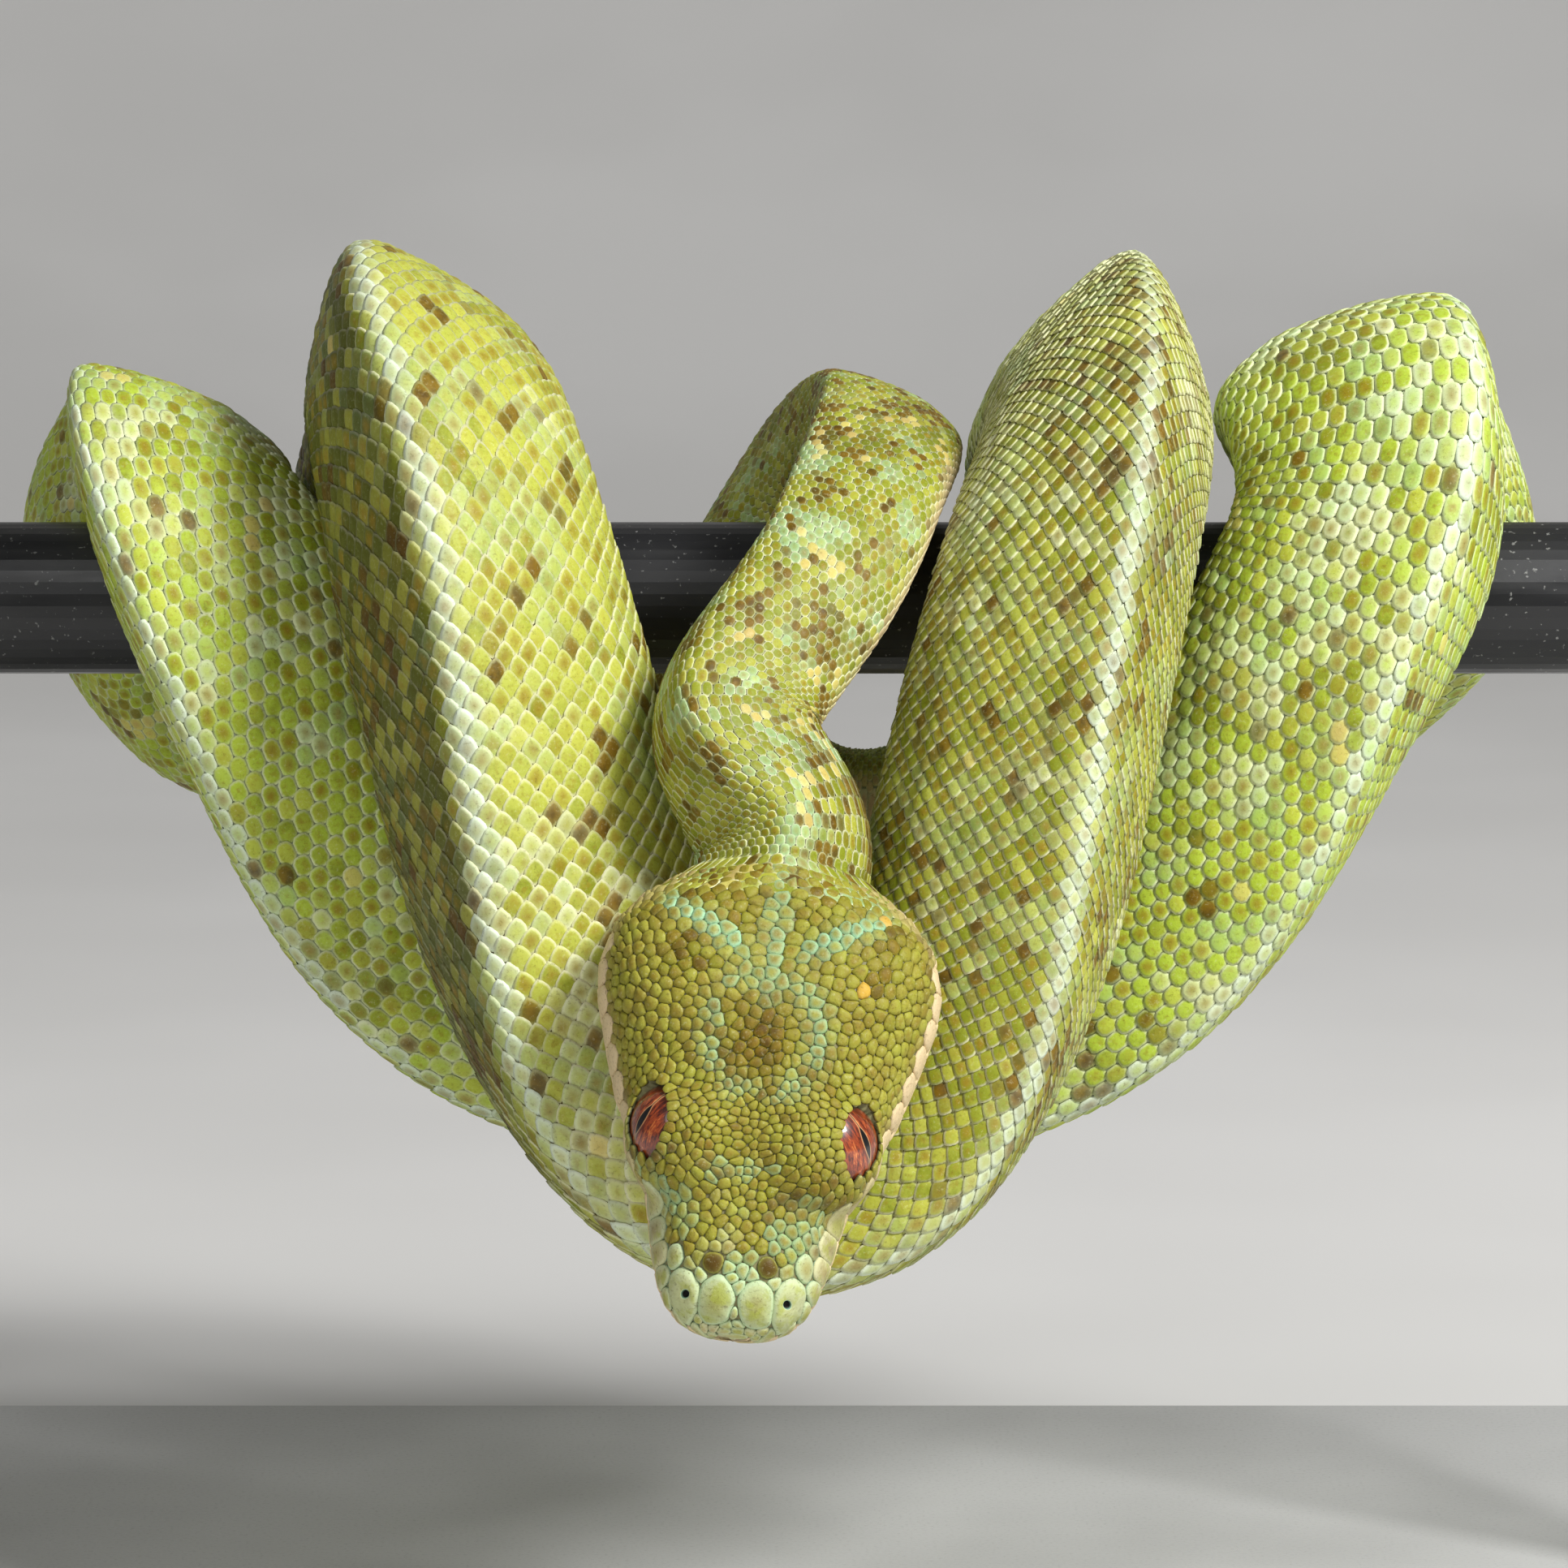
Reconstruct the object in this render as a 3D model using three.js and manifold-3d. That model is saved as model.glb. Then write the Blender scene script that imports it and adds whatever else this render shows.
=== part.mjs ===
// Green tree python coiled over a round perch, with its head resting on the front coils.
// Millimetres. Origin at the bottom centre of the base, +Z up, +X to the viewer's right, +Y to the back.
// The body is one sweep along a smooth path, divided into lengths by thin cuts.
// The mount is a flat base, two short rods and a cut length of the perch.
import * as THREE from 'three';
import { mergeVertices } from 'three/addons/utils/BufferGeometryUtils.js';
import Module from 'manifold-3d';

const wasm = await Module();
wasm.setup();

// ---------------------------------------------------------------- driving sizes
const CUT = 0.3;                // thin gap between neighbouring parts
const BASE = { length: 300, depth: 212, thick: 10, bevel: 1.5 };
const PERCH = { height: 145, radius: 10, length: 290, bevel: 1 };
const ROD = { radius: 4, x: 134 };

const BODY_SIDES = 18;          // facets round the body
const BODY_STEP = 8.2;          // spacing of its rings
const BELLY_POWER = 0.8;        // above 0.5, how flat the belly is
const RIDGE = 0.5;              // how far the widest line sits below the backbone

// The body hangs in slings: over the perch, down, across and up again.
// A limb of a sling, from the perch down to the middle of the sling:
// across = share of the limb's x, out = share of the reach from the perch, down = share of the drop,
// face = how far the backbone has turned from up to outward, low = share of the sling's own bottom values.
const FRONT_LIMB = [
  { across: 1.00, out: 0.34, down: 0.00, face: 0.22, low: 0.0 },
  { across: 0.94, out: 0.86, down: 0.17, face: 0.72, low: 0.0 },
  { across: 0.78, out: 1.00, down: 0.46, face: 1.00, low: 0.1 },
  { across: 0.64, out: 1.00, down: 0.76, face: 1.00, low: 0.6 },
  { across: 0.30, out: 1.00, down: 1.00, face: 0.95, low: 1.0 },
];
const REAR_LIMB = [
  { across: 1.00, out: 0.34, down: 0.00, face: 0.22, low: 0.0 },
  { across: 1.13, out: 0.72, down: 0.24, face: 0.72, low: 0.0 },
  { across: 0.88, out: 0.92, down: 0.54, face: 1.00, low: 0.2 },
  { across: 0.74, out: 1.00, down: 0.88, face: 1.00, low: 0.8 },
  { across: 0.30, out: 1.00, down: 1.00, face: 0.95, low: 1.0 },
];

// Where the body crosses the perch. Heights are from the perch's axis; lean tips the backbone outward.
const INNER_LEFT = { x: -49, crest: 35.5, lean: [0.42, 0.14, 0.32], wide: 33.5, tall: 37, taper: 0.91, slim: 0.98 };
const INNER_RIGHT = { x: 43.5, crest: 30.5, lean: [0.20, 0.32, 0.34], wide: 30, tall: 37, taper: 0.94, slim: 0.88 };
const OUTER_LEFT = { x: -82, crest: 19, lean: [0.80, 0.70, 0.85], wide: 25.5, tall: 36, taper: 0.98, slim: 1 };
const OUTER_RIGHT = { x: 79, crest: 26, lean: [0.60, 0.45, 0.45], wide: 37, tall: 37, taper: 1.08, slim: 1 };
const REAR_LEFT = { x: -49, crest: 25, lean: [0.30, 0.20, 0.10], wide: 33, tall: 35, taper: 1, slim: 0.94 };
const REAR_RIGHT = { x: 77, crest: 24, lean: [0.65, 0.50, 0.20], wide: 40, tall: 36, taper: 1.08, slim: 0.94 };

const INNER_SLING = { side: -1, reach: 51, lowReach: 58, bottom: -68, under: 0.8, wide: 40, tall: 34 };
const REAR_SLING = { side: 1, reach: 46, lowReach: 72, bottom: -50, under: 0.4, wide: 37, tall: 34 };
const OUTER_SLING = { side: -1, reach: 23, lowReach: 14, bottom: -60, under: 1.0, wide: 36, tall: 36 };

// The head's line, from the tip of the snout to the nape.
const SNOUT = [-6.2, -93.6, -78.4];
const NAPE = [-0.2, -70.5, -25.6];
const HEAD_UP = [0.03, -1.0, 0.45];
const NAPE_LEAD = 7;

// Neck and tail: place, backbone direction, width and height.
const NECK = [
  { at: [-8.2, -65.2, -11.5], back: [-0.35, -1.0, 0.2], size: [22, 19.5] },
  { at: [-7.8, -57, -4], back: [-0.6, -1.0, 0.2], size: [23, 20] },
  { at: [5.7, -43.5, 9], back: [-0.8, -0.8, 0.3], size: [22, 20] },
  { at: [10, -27.5, 17.5], back: [-0.8, -0.5, 0.5], size: [20, 20] },
  { at: [13.2, -5, 23.7], back: [-0.5, -0.2, 1.0], size: [20, 22] },
  { at: [5, 19, 15.5], back: [-0.6, 0.6, 0.7], size: [23, 24] },
  { at: [-8, 32, -3], back: [-0.3, 1.0, 0.3], size: [25, 26] },
  { at: [-11, 38, -27], back: [-0.2, 1.0, -0.2], size: [26, 27] },
  { at: [4, 41, -42], back: [0.0, 1.0, -0.4], size: [27, 28] },
  { at: [27, 40, -39], back: [0.2, 1.0, -0.3], size: [28, 29] },
  { at: [41, 36, -17], back: [0.2, 1.0, 0.1], size: [30, 31] },
  { at: [41.5, 27, 8], back: [0.2, 0.9, 0.4], size: [30, 34] },
  { at: [40, 12, 27], back: [0.2, 0.34, 0.94], size: [31, 37] },
];
const TAIL = [
  { at: [-80.5, 12, 17], back: [-0.85, 0.34, 0.94], size: [25.5, 35] },
  { at: [-97, 25, 1], back: [-1.5, 0.9, 0.4], size: [27, 30] },
  { at: [-79, 40, -25], back: [-1.0, 1.0, -0.2], size: [27, 28] },
  { at: [-75, 65, -18], back: [-0.5, 1.0, 0.0], size: [25, 26] },
  { at: [-58, 83, -9], back: [-0.3, 1.0, 0.2], size: [23, 23] },
  { at: [-32, 89, -10], back: [0.0, 1.0, 0.2], size: [20, 20] },
  { at: [-8, 86, -12], back: [0.0, 1.0, 0.2], size: [17, 17] },
  { at: [14, 80, -12], back: [0.2, 1.0, 0.2], size: [13.5, 13.5] },
  { at: [30, 71, -11], back: [0.5, 1.0, 0.2], size: [10, 10] },
  { at: [37, 60, -9], back: [1.0, 0.5, 0.2], size: [7, 7] },
  { at: [30, 52, -12], back: [0.6, -1.0, 0.2], size: [4, 4] },
];

// Lengths of the body, by the number of the control point where each one ends.
const LENGTHS = [
  ['neck_front', 7],
  ['neck_rear', 10.5],
  ['trunk_1', 14],
  ['trunk_2', 19],
  ['trunk_3', 22],
  ['trunk_4', 25.5],
  ['trunk_5', 29],
  ['trunk_6', 32],
  ['trunk_7', 35.5],
  ['trunk_8', 39],
  ['trunk_9', 42],
  ['trunk_10', 45.5],
  ['trunk_11', 48],
  ['tail_1', 50.5],
  ['tail_2', 53],
  ['tail_tip', 56],
];

// Head, by distance back from the tip of the snout: half width at the mouth line, height of the crown
// above it, depth of the jaw below it.
const HEAD_SIDES = 20;
const HEAD = [
  { at: 0.0, half: 3.2, crown: 3.4, jaw: 1.6 },
  { at: 0.6, half: 5.2, crown: 5.2, jaw: 2.6 },
  { at: 1.6, half: 7.0, crown: 6.6, jaw: 3.5 },
  { at: 3.4, half: 8.7, crown: 7.9, jaw: 4.5 },
  { at: 5.5, half: 9.8, crown: 8.8, jaw: 5.2 },
  { at: 9.6, half: 11.1, crown: 9.6, jaw: 6.2 },
  { at: 15.7, half: 12.4, crown: 10.5, jaw: 7.0 },
  { at: 21.7, half: 14.5, crown: 12.4, jaw: 7.7 },
  { at: 27.7, half: 17.3, crown: 13.8, jaw: 8.3 },
  { at: 33.8, half: 19.2, crown: 14.4, jaw: 9.0 },
  { at: 39.8, half: 20.8, crown: 14.5, jaw: 9.6 },
  { at: 43.9, half: 21.1, crown: 14.0, jaw: 9.8 },
  { at: 49.9, half: 19.6, crown: 12.6, jaw: 9.4 },
  { at: 53.9, half: 17.4, crown: 11.0, jaw: 9.1 },
  { at: 58.5, half: 11.3, crown: 9.0, jaw: 8.8 },
];
const HEAD_RINGS = [0, 0.6, 1.6, 3.4, 5.6, 8.4, 11.6, 15, 18.4, 21.6, 24.8, 28, 32, 36, 40, 44, 48, 51.5, 55];
const HEAD_SQUARE = { top: 2.35, chin: 2.5 };   // superellipse powers of its cross-section
const NAPE_BLEND = { from: 48, to: 58.5 };      // where the head's section turns into the neck's
const MOUTH = { back: 46 };
const BROW = { at: 23.5, angle: 0.80, rise: 0.9, long: 5.5, wide: 0.28 };
const TEMPLE = { at: 45, angle: 0.75, rise: 0.9, long: 8, wide: 0.40 };
const CROWN_GROOVE = { at: 49, angle: 0, rise: -1.3, long: 7, wide: 0.22 };
const LORE = { at: 14.5, angle: 1.15, rise: -0.8, long: 4.5, wide: 0.30 };
const EYE = { at: 23.4, out: 10.6, up: 8.7, radius: 4.9, thick: 3.4, tilt: 0.75 };
const NOSTRIL = { at: 3.9, out: 6.1, up: 6.4, radius: 0.75, deep: 3.0, tilt: 0.75 };

// ---------------------------------------------------------------- materials
const materials = {
  scales: new THREE.MeshStandardMaterial({ name: 'green_scales', color: 0x9aa83a, roughness: 0.5 }),
  lips: new THREE.MeshStandardMaterial({ name: 'pale_lips', color: 0xd9cfae, roughness: 0.5 }),
  iris: new THREE.MeshStandardMaterial({ name: 'eye_copper', color: 0xa84a22, roughness: 0.1 }),
  perch: new THREE.MeshStandardMaterial({ name: 'perch_black', color: 0x101012, roughness: 0.4 }),
  stand: new THREE.MeshStandardMaterial({ name: 'stand_grey', color: 0x8c8c88, roughness: 0.6 }),
};

// ---------------------------------------------------------------- vectors and curves
const vec = (a) => new THREE.Vector3(...a);
const mix = (a, b, k) => a + (b - a) * k;
const smooth = (k) => k * k * (3 - 2 * k);
const clamp01 = (k) => Math.min(1, Math.max(0, k));

function gaussian(value, centre, spread) {
  const d = (value - centre) / spread;
  return Math.exp(-d * d);
}

// Ten control points of a sling: down the limb of one crossing and up that of the other.
function sling(first, second, shape) {
  return [...limb(first, shape), ...limb(second, shape).reverse()];
}

function limb(end, shape) {
  const outward = Math.sign(end.x);
  return (shape.side < 0 ? FRONT_LIMB : REAR_LIMB).map((row, i) => {
    const lean = end.lean[[0, 1, 1, 2, 2][i]];
    const turn = row.face * Math.PI / 2;
    const grown = Math.min(1, i / 2);
    const x = end.x * row.across * (i === 0 ? 1 : end.taper);
    const y = shape.side * mix(shape.reach * row.out, shape.lowReach, row.low);
    const z = mix(end.crest, shape.bottom, row.down);
    return {
      at: [x, y, z],
      back: [outward * lean, shape.side * Math.sin(turn), Math.cos(turn) - shape.under * row.low],
      size: [mix(end.wide, shape.wide * end.slim, grown), mix(end.tall, shape.tall, grown)],
    };
  });
}

// The head's own axes: back along it, up through the crown, out to its right.
const headBack = vec(NAPE).sub(vec(SNOUT)).normalize();
const headUp = vec(HEAD_UP).addScaledVector(headBack, -vec(HEAD_UP).dot(headBack)).normalize();
const headRight = new THREE.Vector3().crossVectors(headUp, headBack);
const headLength = vec(NAPE).distanceTo(vec(SNOUT));

function napePoints() {
  return [-NAPE_LEAD, 0, NAPE_LEAD].map((along) => ({
    at: vec(NAPE).addScaledVector(headBack, along).toArray(),
    back: HEAD_UP,
    size: [22.5, 17.6],
  }));
}

const control = [
  ...napePoints(),
  ...NECK,
  ...sling(INNER_RIGHT, INNER_LEFT, INNER_SLING),
  ...sling(REAR_LEFT, REAR_RIGHT, REAR_SLING),
  ...sling(OUTER_RIGHT, OUTER_LEFT, OUTER_SLING),
  ...TAIL,
];

// Uniform cubic B-spline over the rows of control points; u counts control points.
const CURVE = (k) => [
  (1 - k) ** 3 / 6,
  (3 * k ** 3 - 6 * k ** 2 + 4) / 6,
  (-3 * k ** 3 + 3 * k ** 2 + 3 * k + 1) / 6,
  k ** 3 / 6,
];
const SLOPE = (k) => [
  -((1 - k) ** 2) / 2,
  (3 * k ** 2 - 4 * k) / 2,
  (-3 * k ** 2 + 2 * k + 1) / 2,
  k ** 2 / 2,
];

// One more row past the tip carries the curve to the last control point.
const tip = control.at(-1);
const beforeTip = control.at(-2);
control.push({
  at: tip.at.map((v, i) => 2 * v - beforeTip.at[i]),
  back: tip.back,
  size: tip.size.map((v, i) => 2 * v - beforeTip.size[i]),
});

function pathValue(key, u, weights = CURVE) {
  const i = Math.min(Math.floor(u), control.length - 3);
  const share = weights(u - i);
  return [0, 1, 2].slice(0, control[i][key].length)
    .map((axis) => share.reduce((sum, w, n) => sum + w * control[i - 1 + n][key][axis], 0));
}

function pathFrame(u) {
  const at = vec(pathValue('at', u));
  at.z += PERCH.height;
  const along = vec(pathValue('at', u, SLOPE)).normalize();
  const up = vec(pathValue('back', u));
  up.addScaledVector(along, -up.dot(along)).normalize();
  return { at, along, up, side: new THREE.Vector3().crossVectors(along, up), size: pathValue('size', u) };
}

// ---------------------------------------------------------------- cross-sections, as [out, up] for an angle from the back
const WIDEST = 1.101;   // largest value of sin a (1 - RIDGE cos a)

function bodySection(angle, wide, tall) {
  const c = Math.cos(angle);
  const out = Math.sin(angle) * (1 - RIDGE * c) / WIDEST;
  const up = c > 0 ? c : -(Math.abs(c) ** BELLY_POWER);
  return [out * wide / 2, up * tall / 2];
}

function headSize(station) {
  const after = HEAD.findIndex((row) => row.at >= station - 1e-6);
  if (after <= 0) return HEAD.at(after === 0 ? 0 : -1);
  const [a, b] = [HEAD[after - 1], HEAD[after]];
  const k = (station - a.at) / (b.at - a.at);
  return { half: mix(a.half, b.half, k), crown: mix(a.crown, b.crown, k), jaw: mix(a.jaw, b.jaw, k) };
}

function headBump(station, angle) {
  const turn = Math.min(angle, 2 * Math.PI - angle);
  return [BROW, TEMPLE, CROWN_GROOVE, LORE].reduce(
    (sum, b) => sum + b.rise * gaussian(station, b.at, b.long) * gaussian(turn, b.angle, b.wide), 0);
}

function headSection(station, angle) {
  const { half, crown, jaw } = headSize(station);
  const [s, c] = [Math.sin(angle), Math.cos(angle)];
  const power = 2 / (c > 0 ? HEAD_SQUARE.top : HEAD_SQUARE.chin);
  const bump = headBump(station, angle);
  const out = Math.sign(s) * Math.abs(s) ** power * half + s * bump;
  const up = Math.sign(c) * Math.abs(c) ** power * (c > 0 ? crown : jaw) + c * bump;
  const k = smooth(clamp01((station - NAPE_BLEND.from) / (NAPE_BLEND.to - NAPE_BLEND.from)));
  const neck = bodySection(angle, half * 2, crown + jaw);
  return [mix(out, neck[0], k), mix(up, neck[1], k)];
}

// ---------------------------------------------------------------- solids
function closedGeometry(rings) {
  const sides = rings[0].length;
  const points = rings.flat();
  const faces = [];
  for (let r = 0; r < rings.length - 1; r += 1) {
    for (let i = 0; i < sides; i += 1) {
      const [a, b] = [r * sides + i, r * sides + (i + 1) % sides];
      faces.push(a, b, a + sides, b, b + sides, a + sides);
    }
  }
  const last = (rings.length - 1) * sides;
  for (let i = 1; i < sides - 1; i += 1) {
    faces.push(0, i + 1, i);
    faces.push(last, last + i, last + i + 1);
  }
  const geometry = new THREE.BufferGeometry();
  geometry.setAttribute('position', new THREE.Float32BufferAttribute(points.flatMap((p) => p.toArray()), 3));
  geometry.setIndex(faces);
  return geometry;
}

function solid(geometry) {
  const bare = new THREE.BufferGeometry();
  bare.setAttribute('position', geometry.getAttribute('position'));
  if (geometry.index) bare.setIndex(geometry.index);
  const welded = mergeVertices(bare, 1e-4);
  return new wasm.Manifold(new wasm.Mesh({
    numProp: 3,
    vertProperties: new Float32Array(welded.getAttribute('position').array),
    triVerts: new Uint32Array(welded.index.array),
  }));
}

function geometryOf(body) {
  const mesh = body.getMesh();
  const geometry = new THREE.BufferGeometry();
  geometry.setAttribute('position', new THREE.Float32BufferAttribute(mesh.vertProperties, 3));
  geometry.setIndex([...mesh.triVerts]);
  return geometry;
}

function cylinderX(radius, length, sides) {
  return new THREE.CylinderGeometry(radius, radius, length, sides, 1).rotateZ(Math.PI / 2);
}

// ---------------------------------------------------------------- mount: base, rods, perch
const object = new THREE.Group();
object.name = 'green_tree_python_on_perch';

function add(name, geometry, material) {
  const flat = geometry.index ? geometry.toNonIndexed() : geometry;
  flat.computeVertexNormals();
  const mesh = new THREE.Mesh(flat, material.clone());
  mesh.name = name;
  object.add(mesh);
}

const PERCH_SIDES = 40;

// A cylinder along X with a small bevel at each end.
function bevelledBar(radius, length, bevel, sides) {
  const half = length / 2;
  const profile = [[-half, radius - bevel], [-half + bevel, radius], [half - bevel, radius], [half, radius - bevel]];
  const rings = profile.map(([x, r]) => Array.from({ length: sides }, (_, i) => {
    const angle = 2 * Math.PI * i / sides;
    return new THREE.Vector3(x, -r * Math.sin(angle), PERCH.height + r * Math.cos(angle));
  }));
  return closedGeometry(rings);
}

const perchSpace = solid(bevelledBar(PERCH.radius + CUT, PERCH.length + 20, 0.5, PERCH_SIDES));

// A block with bevelled top edges, its underside on the floor.
function bevelledBase({ length, depth, thick, bevel }) {
  const layers = [[0, 0], [thick - bevel, 0], [thick, bevel]];
  const rings = layers.map(([z, inset]) => {
    const [x, y] = [length / 2 - inset, depth / 2 - inset];
    return [[x, y], [-x, y], [-x, -y], [x, -y]].map(([px, py]) => new THREE.Vector3(px, py, z));
  });
  return closedGeometry(rings);
}

add('stand_base', bevelledBase(BASE), materials.stand);
[['stand_rod_left', -ROD.x], ['stand_rod_right', ROD.x]].forEach(([name, x]) => {
  const foot = BASE.thick + CUT;
  const tall = PERCH.height - foot;
  const rod = new THREE.CylinderGeometry(ROD.radius, ROD.radius, tall, 20, 1).rotateX(Math.PI / 2);
  rod.translate(x, 0, foot + tall / 2);
  add(name, geometryOf(solid(rod).subtract(perchSpace)), materials.stand);
});
add('perch_bar', bevelledBar(PERCH.radius, PERCH.length, PERCH.bevel, PERCH_SIDES), materials.perch);

// ---------------------------------------------------------------- body, length by length
function bodyRing(u, shift) {
  const f = pathFrame(u);
  return Array.from({ length: BODY_SIDES }, (_, i) => {
    const [out, up] = bodySection(2 * Math.PI * i / BODY_SIDES, ...f.size);
    return f.at.clone().addScaledVector(f.along, shift).addScaledVector(f.side, out).addScaledVector(f.up, up);
  });
}

function pathLength(from, to, parts = 60) {
  const points = Array.from({ length: parts + 1 }, (_, i) => pathFrame(mix(from, to, i / parts)).at);
  return points.slice(1).reduce((sum, p, i) => sum + p.distanceTo(points[i]), 0);
}

let from = 1;
LENGTHS.forEach(([name, to], n) => {
  const count = Math.max(3, Math.round(pathLength(from, to) / BODY_STEP));
  const rings = Array.from({ length: count + 1 }, (_, i) => {
    const atStart = i === 0 ? CUT / 2 : 0;
    const atEnd = i === count && n < LENGTHS.length - 1 ? -CUT / 2 : 0;
    return bodyRing(mix(from, to, i / count), atStart + atEnd);
  });
  const body = solid(closedGeometry(rings)).subtract(perchSpace);
  add(name, geometryOf(body), materials.scales);
  from = to;
});

// ---------------------------------------------------------------- head, jaw and eyes
const headAxes = new THREE.Matrix4().makeBasis(headRight, headUp, headBack);
headAxes.setPosition(SNOUT[0], SNOUT[1], SNOUT[2] + PERCH.height);
// In the head's own axes: X to its right, Y up through the crown, Z back from the snout.

function headSolid() {
  const stations = [...HEAD_RINGS, headLength - CUT / 2];
  const rings = stations.map((station) => Array.from({ length: HEAD_SIDES }, (_, i) => {
    const [out, up] = headSection(station, 2 * Math.PI * i / HEAD_SIDES);
    return new THREE.Vector3(-out, up, station);
  }));
  return solid(closedGeometry(rings));
}

// A flattened ball at one side of the head; grow widens it to the socket's size.
function eyeBall(outward, grow) {
  const ball = new THREE.SphereGeometry(1, 16, 10).rotateX(Math.PI / 2).rotateZ(Math.PI / 16);
  ball.scale(EYE.radius + grow, EYE.radius + grow, EYE.thick + grow);
  ball.rotateY(Math.PI / 2).rotateZ(EYE.tilt);
  ball.translate(EYE.out, EYE.up, EYE.at);
  if (outward < 0) ball.applyMatrix4(new THREE.Matrix4().makeRotationY(Math.PI)).translate(0, 0, 2 * EYE.at);
  return ball;
}

function nostril(outward) {
  const hole = new THREE.CylinderGeometry(NOSTRIL.radius, NOSTRIL.radius, NOSTRIL.deep, 10, 1);
  hole.rotateZ(-outward * NOSTRIL.tilt);
  hole.translate(outward * NOSTRIL.out, NOSTRIL.up, NOSTRIL.at);
  return solid(hole);
}

function slab(low, high, back) {
  const block = new THREE.BoxGeometry(60, high - low, back + 10);
  block.translate(0, (low + high) / 2, (back - 10) / 2);
  return solid(block);
}

const skull = headSolid();
const jaw = skull.intersect(slab(-30, -CUT / 2, MOUTH.back));
const upper = [1, -1].reduce(
  (body, outward) => body.subtract(solid(eyeBall(outward, CUT))).subtract(nostril(outward)),
  skull.subtract(slab(-30, CUT / 2, MOUTH.back + CUT)));

add('head', geometryOf(upper).applyMatrix4(headAxes), materials.scales);
add('lower_jaw', geometryOf(jaw).applyMatrix4(headAxes), materials.lips);
add('eye_left', eyeBall(-1, 0).applyMatrix4(headAxes), materials.iris);
add('eye_right', eyeBall(1, 0).applyMatrix4(headAxes), materials.iris);

export default object;
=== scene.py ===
from math import copysign, cos, exp, pi, radians, sin, sqrt

import bpy
import numpy as np
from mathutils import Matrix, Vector
from mathutils.geometry import delaunay_2d_cdt


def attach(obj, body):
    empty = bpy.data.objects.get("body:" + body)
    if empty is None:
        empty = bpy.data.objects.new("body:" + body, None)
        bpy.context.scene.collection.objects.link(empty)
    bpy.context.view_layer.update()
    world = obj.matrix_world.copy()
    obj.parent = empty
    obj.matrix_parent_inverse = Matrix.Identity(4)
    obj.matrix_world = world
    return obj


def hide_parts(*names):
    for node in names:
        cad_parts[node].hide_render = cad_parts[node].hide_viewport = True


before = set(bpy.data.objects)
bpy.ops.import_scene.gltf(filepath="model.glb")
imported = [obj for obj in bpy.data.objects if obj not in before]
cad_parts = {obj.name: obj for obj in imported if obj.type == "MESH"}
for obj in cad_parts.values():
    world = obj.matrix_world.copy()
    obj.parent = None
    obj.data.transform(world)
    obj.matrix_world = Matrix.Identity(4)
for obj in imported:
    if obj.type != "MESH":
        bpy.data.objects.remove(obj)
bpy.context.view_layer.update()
rng = np.random.default_rng(7)
scene, norm = bpy.context.scene, np.linalg.norm

# ---- the body's path, as in the solids, in mm
PERCH_HEIGHT, PERCH_RADIUS = 145.0, 10.0
FRONT_LIMB = (   # across, out, down, face, low
    (1, 0.34, 0, 0.22, 0),
    (0.94, 0.86, 0.17, 0.72, 0),
    (0.78, 1, 0.46, 1, 0.1),
    (0.64, 1, 0.76, 1, 0.6),
    (0.3, 1, 1, 0.95, 1),
)
REAR_LIMB = (
    (1, 0.34, 0, 0.22, 0),
    (1.13, 0.72, 0.24, 0.72, 0),
    (0.88, 0.92, 0.54, 1, 0.2),
    (0.74, 1, 0.88, 1, 0.8),
    (0.3, 1, 1, 0.95, 1),
)
# x, crest, lean, wide, tall, taper, slim
INNER_LEFT = (-49, 35.5, (0.42, 0.14, 0.32), 33.5, 37, 0.91, 0.98)
INNER_RIGHT = (43.5, 30.5, (0.2, 0.32, 0.34), 30, 37, 0.94, 0.88)
OUTER_LEFT = (-82, 19, (0.8, 0.7, 0.85), 25.5, 36, 0.98, 1)
OUTER_RIGHT = (79, 26, (0.6, 0.45, 0.45), 37, 37, 1.08, 1)
REAR_LEFT = (-49, 25, (0.3, 0.2, 0.1), 33, 35, 1, 0.94)
REAR_RIGHT = (77, 24, (0.65, 0.5, 0.2), 40, 36, 1.08, 0.94)
# side, reach, low reach, bottom, under, wide, tall
INNER_SLING = (-1, 51, 58, -68, 0.8, 40, 34)
REAR_SLING = (1, 46, 72, -50, 0.4, 37, 34)
OUTER_SLING = (-1, 23, 14, -60, 1, 36, 36)
ROW_LEANS = (0, 1, 1, 2, 2)      # which lean each row of a limb takes
SNOUT = np.array([-6.2, -93.6, -78.4])
NAPE = np.array([-0.2, -70.5, -25.6])
HEAD_UP = np.array([0.03, -1, 0.45])
NAPE_LEAD = 7
NECK = (   # place, backbone direction, width and height
    ((-8.2, -65.2, -11.5), (-0.35, -1, 0.2), (22, 19.5)),
    ((-7.8, -57, -4), (-0.6, -1, 0.2), (23, 20)),
    ((5.7, -43.5, 9), (-0.8, -0.8, 0.3), (22, 20)),
    ((10, -27.5, 17.5), (-0.8, -0.5, 0.5), (20, 20)),
    ((13.2, -5, 23.7), (-0.5, -0.2, 1), (20, 22)),
    ((5, 19, 15.5), (-0.6, 0.6, 0.7), (23, 24)),
    ((-8, 32, -3), (-0.3, 1, 0.3), (25, 26)),
    ((-11, 38, -27), (-0.2, 1, -0.2), (26, 27)),
    ((4, 41, -42), (0, 1, -0.4), (27, 28)),
    ((27, 40, -39), (0.2, 1, -0.3), (28, 29)),
    ((41, 36, -17), (0.2, 1, 0.1), (30, 31)),
    ((41.5, 27, 8), (0.2, 0.9, 0.4), (30, 34)),
    ((40, 12, 27), (0.2, 0.34, 0.94), (31, 37)),
)
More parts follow.
